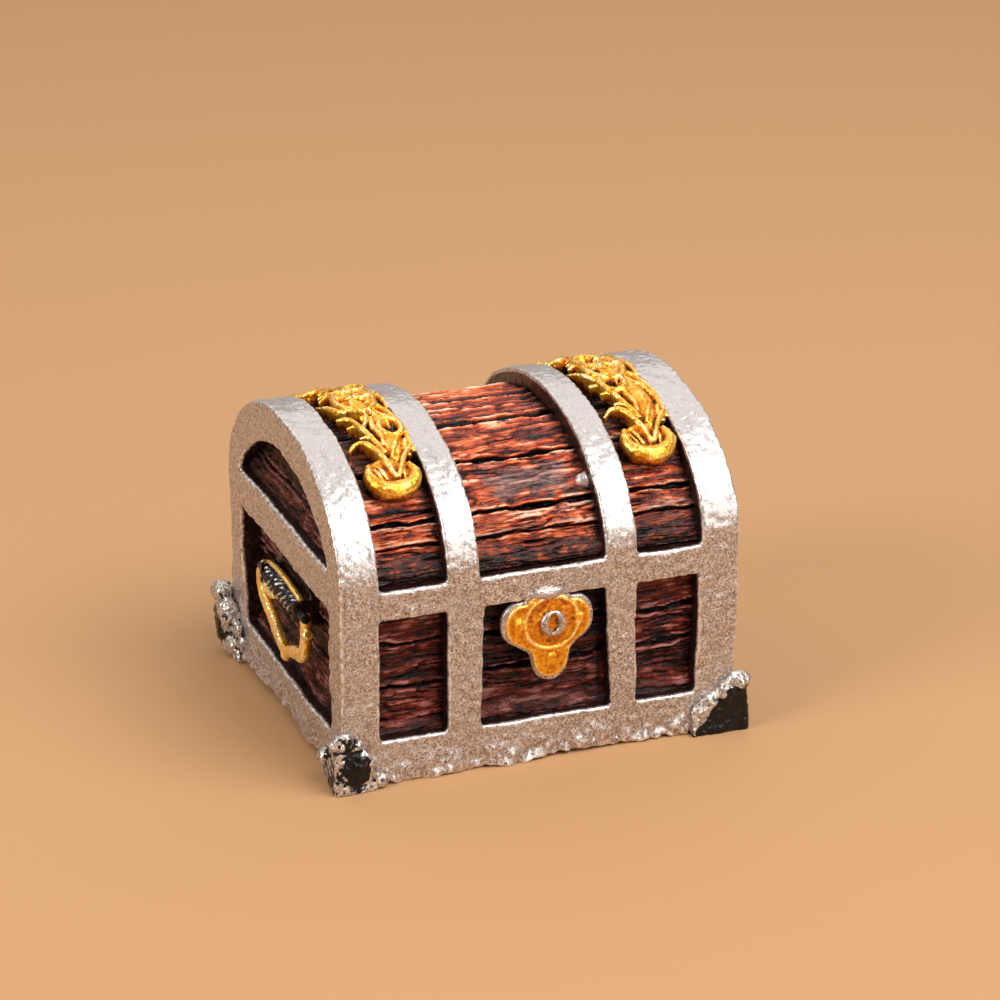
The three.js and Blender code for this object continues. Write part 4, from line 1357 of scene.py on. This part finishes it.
def foot_shells(name, sx, sy, kind):
    """The core, the lumps of its rim and what the three kinds of foot have on them"""

    def spot(face, along, z, proud):
        """A place on a face of the corner, measured inward from the corner"""
        if face == "x":
            return sx * (HALF_WIDTH + proud), sy * (HALF_DEPTH - along), z
        return sx * (HALF_WIDTH - along), sy * (HALF_DEPTH + proud), z

    size = DISC_SIZE if kind == "disc" else 1.0
    rings = []
    for z, reach, proud in FOOT_LEVELS:
        r = reach * size
        side_a = ((-r, -0.5), (-0.9 * r, 0.8 * proud), (-0.35 * r, 0.95 * proud), (0.7 * proud, proud))
        outline = side_a + tuple((b, a) for a, b in reversed(side_a)) + ((-r, -r),)
        rings += [(sx * (HALF_WIDTH + a), sy * (HALF_DEPTH + b), z) for a, b in outline]
    shells = [(np.array(rings, float), tiles(len(FOOT_LEVELS), len(outline)))]
    for face in "xy":
        for step in range(RIM_LUMPS):
            chance = [lattice(step, ord(face), k, len(name)) - 0.5 for k in range(4)]
            share = step / (RIM_LUMPS - 1)
            reach = 9.8 * size - 10.2 * size * share + 1.6 * chance[0]
            place = spot(face, max(reach, -0.8), 0.7 + 8.3 * share + 1.6 * chance[1], 0.5 + 0.7 * chance[2])
            flat = (0.7, 1.3, 1.1) if face == "x" else (1.3, 0.7, 1.1)
            shells.append(ball(place, 1.3 + 0.8 * chance[3], flat))
        if kind == "disc":
            for t in circle(9):
                shells.append(ball(spot(face, 1.8 + 2.4 * math.cos(t), 4.2 + 2.7 * math.sin(t), 1.0), 0.6))
            squash = (0.6 if face == "x" else 1, 1 if face == "x" else 0.6, 1.15)
            shells.append(ball(spot(face, 1.8, 4.2, 1.0), 1.9, squash))
    for along, z, radius in ((0.3, 9.0, 1.5), (2.0, 8.2, 1.2), (-0.9, 8.6, 1.4)):
        shells.append(ball(spot("y", along, z, 0.4), radius, (1.2, 0.9, 0.9)))
    if kind == "plain":
        shells.append(ball(spot("x", 1.0, 5.8, 1.4), 2.9, (0.8, 1.25, 1.75)))
        shells.append(ball(spot("x", -0.6, 10.4, 1.6), 2.1, (1.05, 1.2, 1.0)))
        shells.append(ball(spot("x", 3.6, 2.2, 1.2), 2.2, (0.9, 1.4, 1.0)))
    elif kind == "disc":
        shells.append(ball(spot("x", 4.1, 4.8, 1.5), 1.6, (1, 1.1, 1.1)))
    return shells


def make_foot(name, sx, sy, kind, material):
    """A moulded corner guard: silver brushed over black, apart from the black middle that each kind has"""
    low, high = box_mm(name)
    plain = kind == "plain"
    points, faces = cast(foot_shells(name, sx, sy, kind), 0.2, 5 if plain else 3)
    coarse = 0.4 * fractal(points, 2.6, 2, 56) if plain else 0
    lumps = coarse + 0.2 * fractal(points, 1.8, 3, 51) + 0.12 * noise(points, 0.6, 52)
    points = roughen(points, faces, lumps)
    for axis, outward in ((0, sx), (1, sy)):
        inner, outer = (3.0, 1.5) if outward > 0 else (1.5, 3.0)
        points[:, axis] = np.clip(points[:, axis], low[axis] - inner, high[axis] + outer)
    points[:, 2] = np.maximum(points[:, 2], 0)
    x, y, z = points.T
    stands = np.clip(cavity(points, faces, 5) * 3.0, -0.4, 0.3)
    relief = (0.6 if kind == "disc" else 0.65) + stands + 0.26 * noise(points, 1.5, 53)
    in_x, in_y = HALF_WIDTH - sx * x, HALF_DEPTH - sy * y
    if kind == "wedge":
        slope = 8.6 - 0.85 * z - np.maximum(np.maximum(in_x, in_y), 0) + 0.7 * noise(points, 1.3, 55)
        relief = relief * ease(np.minimum(slope, 1.6 * (8.1 - z)), 0.3, -0.3)
    elif kind == "disc":
        gap = np.hypot(in_x - 1.8, (z - 4.2) * 0.85) + 4 * ease(in_y, -0.2, 1.0)
        gap = gap + 0.5 * noise(points, 1.0, 55)
        relief = (relief - 0.12 * ease(in_x + in_y, 6, 2)) * ease(gap, 2.1, 2.4)
    else:
        patch = np.sqrt((in_x + 2.5) ** 2 + ((z - 4.4) * 0.7) ** 2 + (in_y * 0.6) ** 2)
        relief = relief * ease(patch + 0.8 * noise(points, 1.8, 54), 1.9, 2.6)
    add_cast(name, points, faces, material, relief)


# ---------------------------------------------------------------- working parts


def smoothed(node, body, material, pitch, soften, suffix):
    """A copy of a small CAD piece with its edges softened"""
    points, faces = recast(bpy.data.objects[node].data.copy(), pitch, soften, MM)
    values = {"inset": 0 * points[:, 0], "relief": 0 * points[:, 0] + 0.6}
    add_piece(f"{node}_{suffix}", points, faces, body, material, (node,), values)


def turned(node, profile, centre, axis, body, material, sides=72):
    """A closed profile of (radius, along) turned about an axis"""
    turns = circle(sides)
    rings = np.array([[(r * math.cos(t), r * math.sin(t), a) for r, a in profile] for t in turns])
    order = {"x": (2, 0, 1), "y": (0, 2, 1), "z": (0, 1, 2)}[axis]
    points = rings[..., order].reshape(-1, 3) + np.array(centre)
    faces = tiles(sides, len(profile), True)
    add_piece(node + "_turned", points, faces, body, material, (node,), None, 35)


# The rim of a coin from its back to its face: (share of its radius, height)
COIN_BACK, COIN_FACE = -0.28, 0.17
COIN_RIM = ((0.86, COIN_BACK), (1.0, -0.16), (1.0, 0.16), (0.86, 0.28), (0.78, COIN_FACE))
COIN_SIDES = 26
HEAP_RADIUS = 20.4
HEAP_LOW, HEAP_HIGH = (corner[2] for corner in box_mm("coin_heap"))
PIPE_REACH = 3.2


def coin_faces():
    """Quads round the rim of a coin, with a fan to the point in the middle of each side"""
    faces = tiles(len(COIN_RIM), COIN_SIDES)[:-2]
    last, middle = (len(COIN_RIM) - 1) * COIN_SIDES, len(COIN_RIM) * COIN_SIDES
    for side in range(COIN_SIDES):
        near_side = (side + 1) % COIN_SIDES
        faces += [(near_side, side, middle), (last + side, last + near_side, middle + 1)]
    return faces


def heap_top(radius):
    """The height of the heap of coins at a distance from its middle"""
    heights = (HEAP_HIGH, HEAP_HIGH - 0.4, HEAP_HIGH - 1.5, HEAP_HIGH - 3.3, HEAP_LOW + 1.8, HEAP_LOW)
    return np.interp(radius, (0, 6, 12, 17, HEAP_RADIUS, 21), heights)


def over_pipe(x, y, reach):
    """Whether a coin of this size would lie over the air pipe, which runs to the rear"""
    return abs(x) < reach and -reach < y < 22 and (y > 0 or math.hypot(x, y) < reach)


def make_coins(material):
    """Loose coins over the heap, clear of the air pipe"""
    draw = np.random.default_rng(11)
    points, faces, values = [], [], []
    one_coin = coin_faces()
    rim_paint = [0.55 if height > 0.16 or share > 0.9 else 0.25 for share, height in COIN_RIM]
    paint = [*np.repeat(rim_paint, COIN_SIDES), 0.2, 0.48]
    turns = circle(COIN_SIDES)
    for _ in range(270):
        radius, turn = 20.2 * math.sqrt(draw.random()), 2 * math.pi * draw.random()
        x, y = radius * math.cos(turn), radius * math.sin(turn)
        size = 1.75 + 0.5 * draw.random()
        tip, spin, drop = draw.random(2), draw.random(), draw.random()
        if over_pipe(x, y, PIPE_REACH + size):
            continue
        slope = (heap_top(radius + 1) - heap_top(radius - 1)) / 2
        normal = Vector((-slope * math.cos(turn), -slope * math.sin(turn), 1)).normalized()
        normal = (normal + Vector(((tip[0] - 0.5) * 0.7, (tip[1] - 0.5) * 0.7, 0))).normalized()
        facing = normal.to_track_quat("Z", "Y").to_matrix() @ Matrix.Rotation(spin * 6.28, 3, "Z")
        centre = Vector((x, y, heap_top(radius) - 0.5 - 1.0 * drop))
        coin = []
        for share, height in COIN_RIM:
            coin += [(share * size * math.cos(t), share * size * math.sin(t), height) for t in turns]
        coin += [(0, 0, COIN_BACK), (0, 0, COIN_FACE)]
        faces += [tuple(len(points) + i for i in face) for face in one_coin]
        points += [tuple(facing @ Vector(p) + centre) for p in coin]
        values += paint
    relief = {"relief": values}
    add_piece("coins_loose", points, faces, "chest_body", material, (), relief, 40)
    points, faces = coin_bed()
    relief = {"relief": np.full(len(points), 0.12)}
    add_piece("coin_heap_bed", points, faces, "chest_body", material, ("coin_heap",), relief)


def coin_bed():
    """The mound under the loose coins, with a slot for the air pipe"""
    u, v = grid(-HEAP_RADIUS, HEAP_RADIUS, 0.4, -HEAP_RADIUS, HEAP_RADIUS, 0.4)
    far = np.hypot(u, v)
    radius = np.minimum(far, 20.6)
    scale = np.where(far > HEAP_RADIUS, HEAP_RADIUS / np.maximum(far, 1e-6), 1)
    u, v = u * scale, v * scale
    top = heap_top(radius) - 1.3 + 0.35 * noise(plane(u, v), 2.2, 61)
    pipe = (np.abs(u) < 3.0) & (v > 0) | (np.hypot(u, v) < 3.0)
    top = np.where(pipe, HEAP_LOW + 0.1, np.maximum(top, HEAP_LOW + 0.1))
    return slab(np.stack([u, v, top], axis=-1), np.stack([u, v, 0 * u + HEAP_LOW], axis=-1))


def make_hinges(silver, steel):
    """The leaves and headed pins of the two rear hinges"""
    for side in ("left", "right"):
        smoothed(f"{side}_hinge_body_leaf", "chest_body", silver, 0.16, 2, "cast")
        smoothed(f"{side}_hinge_lid_leaf", "lid", silver, 0.16, 2, "cast")
        node = f"{side}_hinge_pin"
        low, high = box_mm(node)
        half, radius = (high[0] - low[0]) / 2, 0.6
        head = [(1.1, half - 0.8), (1.2, half - 0.65), (1.1, half - 0.15), (0.8, half), (0.01, half)]
        shank = [(0.01, -half), (radius - 0.1, -half), (radius, -half + 0.1), (radius, half - 0.8)]
        centre = ((low[0] + high[0]) / 2, HINGE_Y, RIM)
        turned(node, shank + head, centre, "x", "chest_body", steel, 40)


def make_air_fittings(plastic, stone):
    """The barbed inlet, the pipe, the diffuser and the bell under the lid"""
    low, high = box_mm("air_inlet")
    tip, bore, tube, barb = high[1], 1.25, 1.9, 2.45
    wall = low[1] + 1.8
    flange = [(bore, wall - 1.8), (3.8, wall - 1.8), (4, wall - 1.6), (4, wall - 0.5), (3.8, wall - 0.3)]
    spigot = [(tube, wall - 0.3), (tube, tip - 4.2), (barb, tip - 4.0), (tube, tip - 2.2), (barb, tip - 2.0)]
    profile = flange + spigot + [(1.75, tip - 0.05), (bore, tip)]
    centre = (0, 0, (low[2] + high[2]) / 2)
    turned("air_inlet", profile, centre, "y", "chest_body", plastic)

    low, high = box_mm("air_bell")
    radius, wall, stem, shoulder = high[0], 1.2, 3.0, 38.5
    inner, roof = radius - wall, shoulder - wall
    mouth = [(inner, low[2]), (radius, low[2])]
    inside = [(0.01, roof), (inner - 1.5, roof), (inner - 0.5, roof - 0.5), (inner, roof - 1.5)]
    outside = [(radius, shoulder - 1.8), (radius - 0.5, shoulder - 0.6), (radius - 1.6, shoulder)]
    neck = [(stem + 0.8, shoulder), (stem + 0.2, shoulder + 0.4), (stem, shoulder + 1), (stem, high[2])]
    profile = inside + mouth + outside + neck + [(0.01, high[2])]
    turned("air_bell", profile, (0, 0, 0), "z", "lid", plastic, 96)

    low, high = box_mm("air_stone")
    base, top, radius, socket = low[2], high[2], high[0], 2.6
    side = [(socket, base), (radius - 0.3, base), (radius, base + 0.6), (radius, top - 1.8)]
    crown = [(radius - 0.3, top - 1.0), (radius - 1.0, top - 0.35), (radius - 2.0, top), (0.01, top)]
    profile = side + crown + [(0.01, base + 1.9), (socket, base + 1.9)]
    turned("air_stone", profile, (0, 0, 0), "z", "chest_body", stone, 64)
    smoothed("air_pipe", "chest_body", plastic, 0.2, 3, "smooth")


def finish_nodes(materials):
    """Materials for the CAD nodes that stay as they are"""
    for node, material in materials.items():
        thing = bpy.data.objects[node]
        if not thing.material_slots:
            thing.data.materials.append(material)
        for one in thing.material_slots:
            one.material = material


# ---------------------------------------------------------------- the whole chest

make_camera()
make_studio()

silver_paint = silver_finish()
lid_wood = wood_finish("lid_wood", (0.78, 0.15, 0.03), (0.3, 0.034, 0.01), (0.06, 0.008, 0.004), 0.6, 0.34)
dark_red = ((0.17, 0.021, 0.008), (0.038, 0.0036, 0.002), (0.008, 0.0012, 0.001))
body_wood = wood_finish("body_wood", *dark_red, 0.1, 0.12)
darker_red = ((0.09, 0.012, 0.005), (0.022, 0.003, 0.0015), (0.006, 0.0015, 0.001))
end_wood = wood_finish("end_wood", *darker_red, 0.1, 0.07)
gold_paint = gold_finish()
coin_gold = gold_paint.copy()
coin_gold.name = "coin_gold"
black_paint = two_tone_finish("black_paint", (0.004, 0.0035, 0.003), (0.6, 0.53, 0.48), 0.14)
barrel_paint = two_tone_finish("handle_barrel", (0.01, 0.01, 0.011), (0.7, 0.7, 0.7))
steel = plain_finish("steel_pin", (0.55, 0.55, 0.56), 0.3, 1.0, 0.5, 0.02)
plastic = milky_finish()
stone = stone_finish()
iron = plain_finish("ballast", (0.05, 0.05, 0.05), 0.55, 0.3, 0.6, 0.06, 0.4)

make_silver(silver_paint)
long_boards("front_boards", -1, body_wood, ((23.4, 15.8), (16.5, 22.9), (22.4, 16.4)))
long_boards("rear_boards", 1, body_wood, ((22.8, 15.4), (17.2, 23.4), (21.9, 15.1)))
end_boards("left_end_boards", -1, end_wood)
end_boards("right_end_boards", 1, end_wood)
lid_end_board("left_lid_end_board", -1, end_wood)
lid_end_board("right_lid_end_board", 1, end_wood)
for number in range(len(STAVE_EDGES) - 1):
    lid_stave(number, lid_wood)
make_filigree("left_lid_filigree", -22.0, LEFT_RING, gold_paint)
make_filigree("right_lid_filigree", 22.9, RIGHT_RING, gold_paint)
make_lock(gold_paint, silver_paint)
make_handle(-1, "left", gold_paint, barrel_paint)
make_handle(1, "right", gold_paint, barrel_paint)
make_foot("front_left_foot", -1, -1, "disc", black_paint)
make_foot("front_right_foot", 1, -1, "wedge", black_paint)
make_foot("rear_right_foot", 1, 1, "disc", black_paint)
make_foot("rear_left_foot", -1, 1, "plain", black_paint)
make_hinges(silver_paint, steel)
make_air_fittings(plastic, stone)
make_coins(coin_gold)
finish_nodes({"floor_plate": silver_paint, "ballast_plate": iron, "lid_stay": steel, "lid_stay_peg": steel})
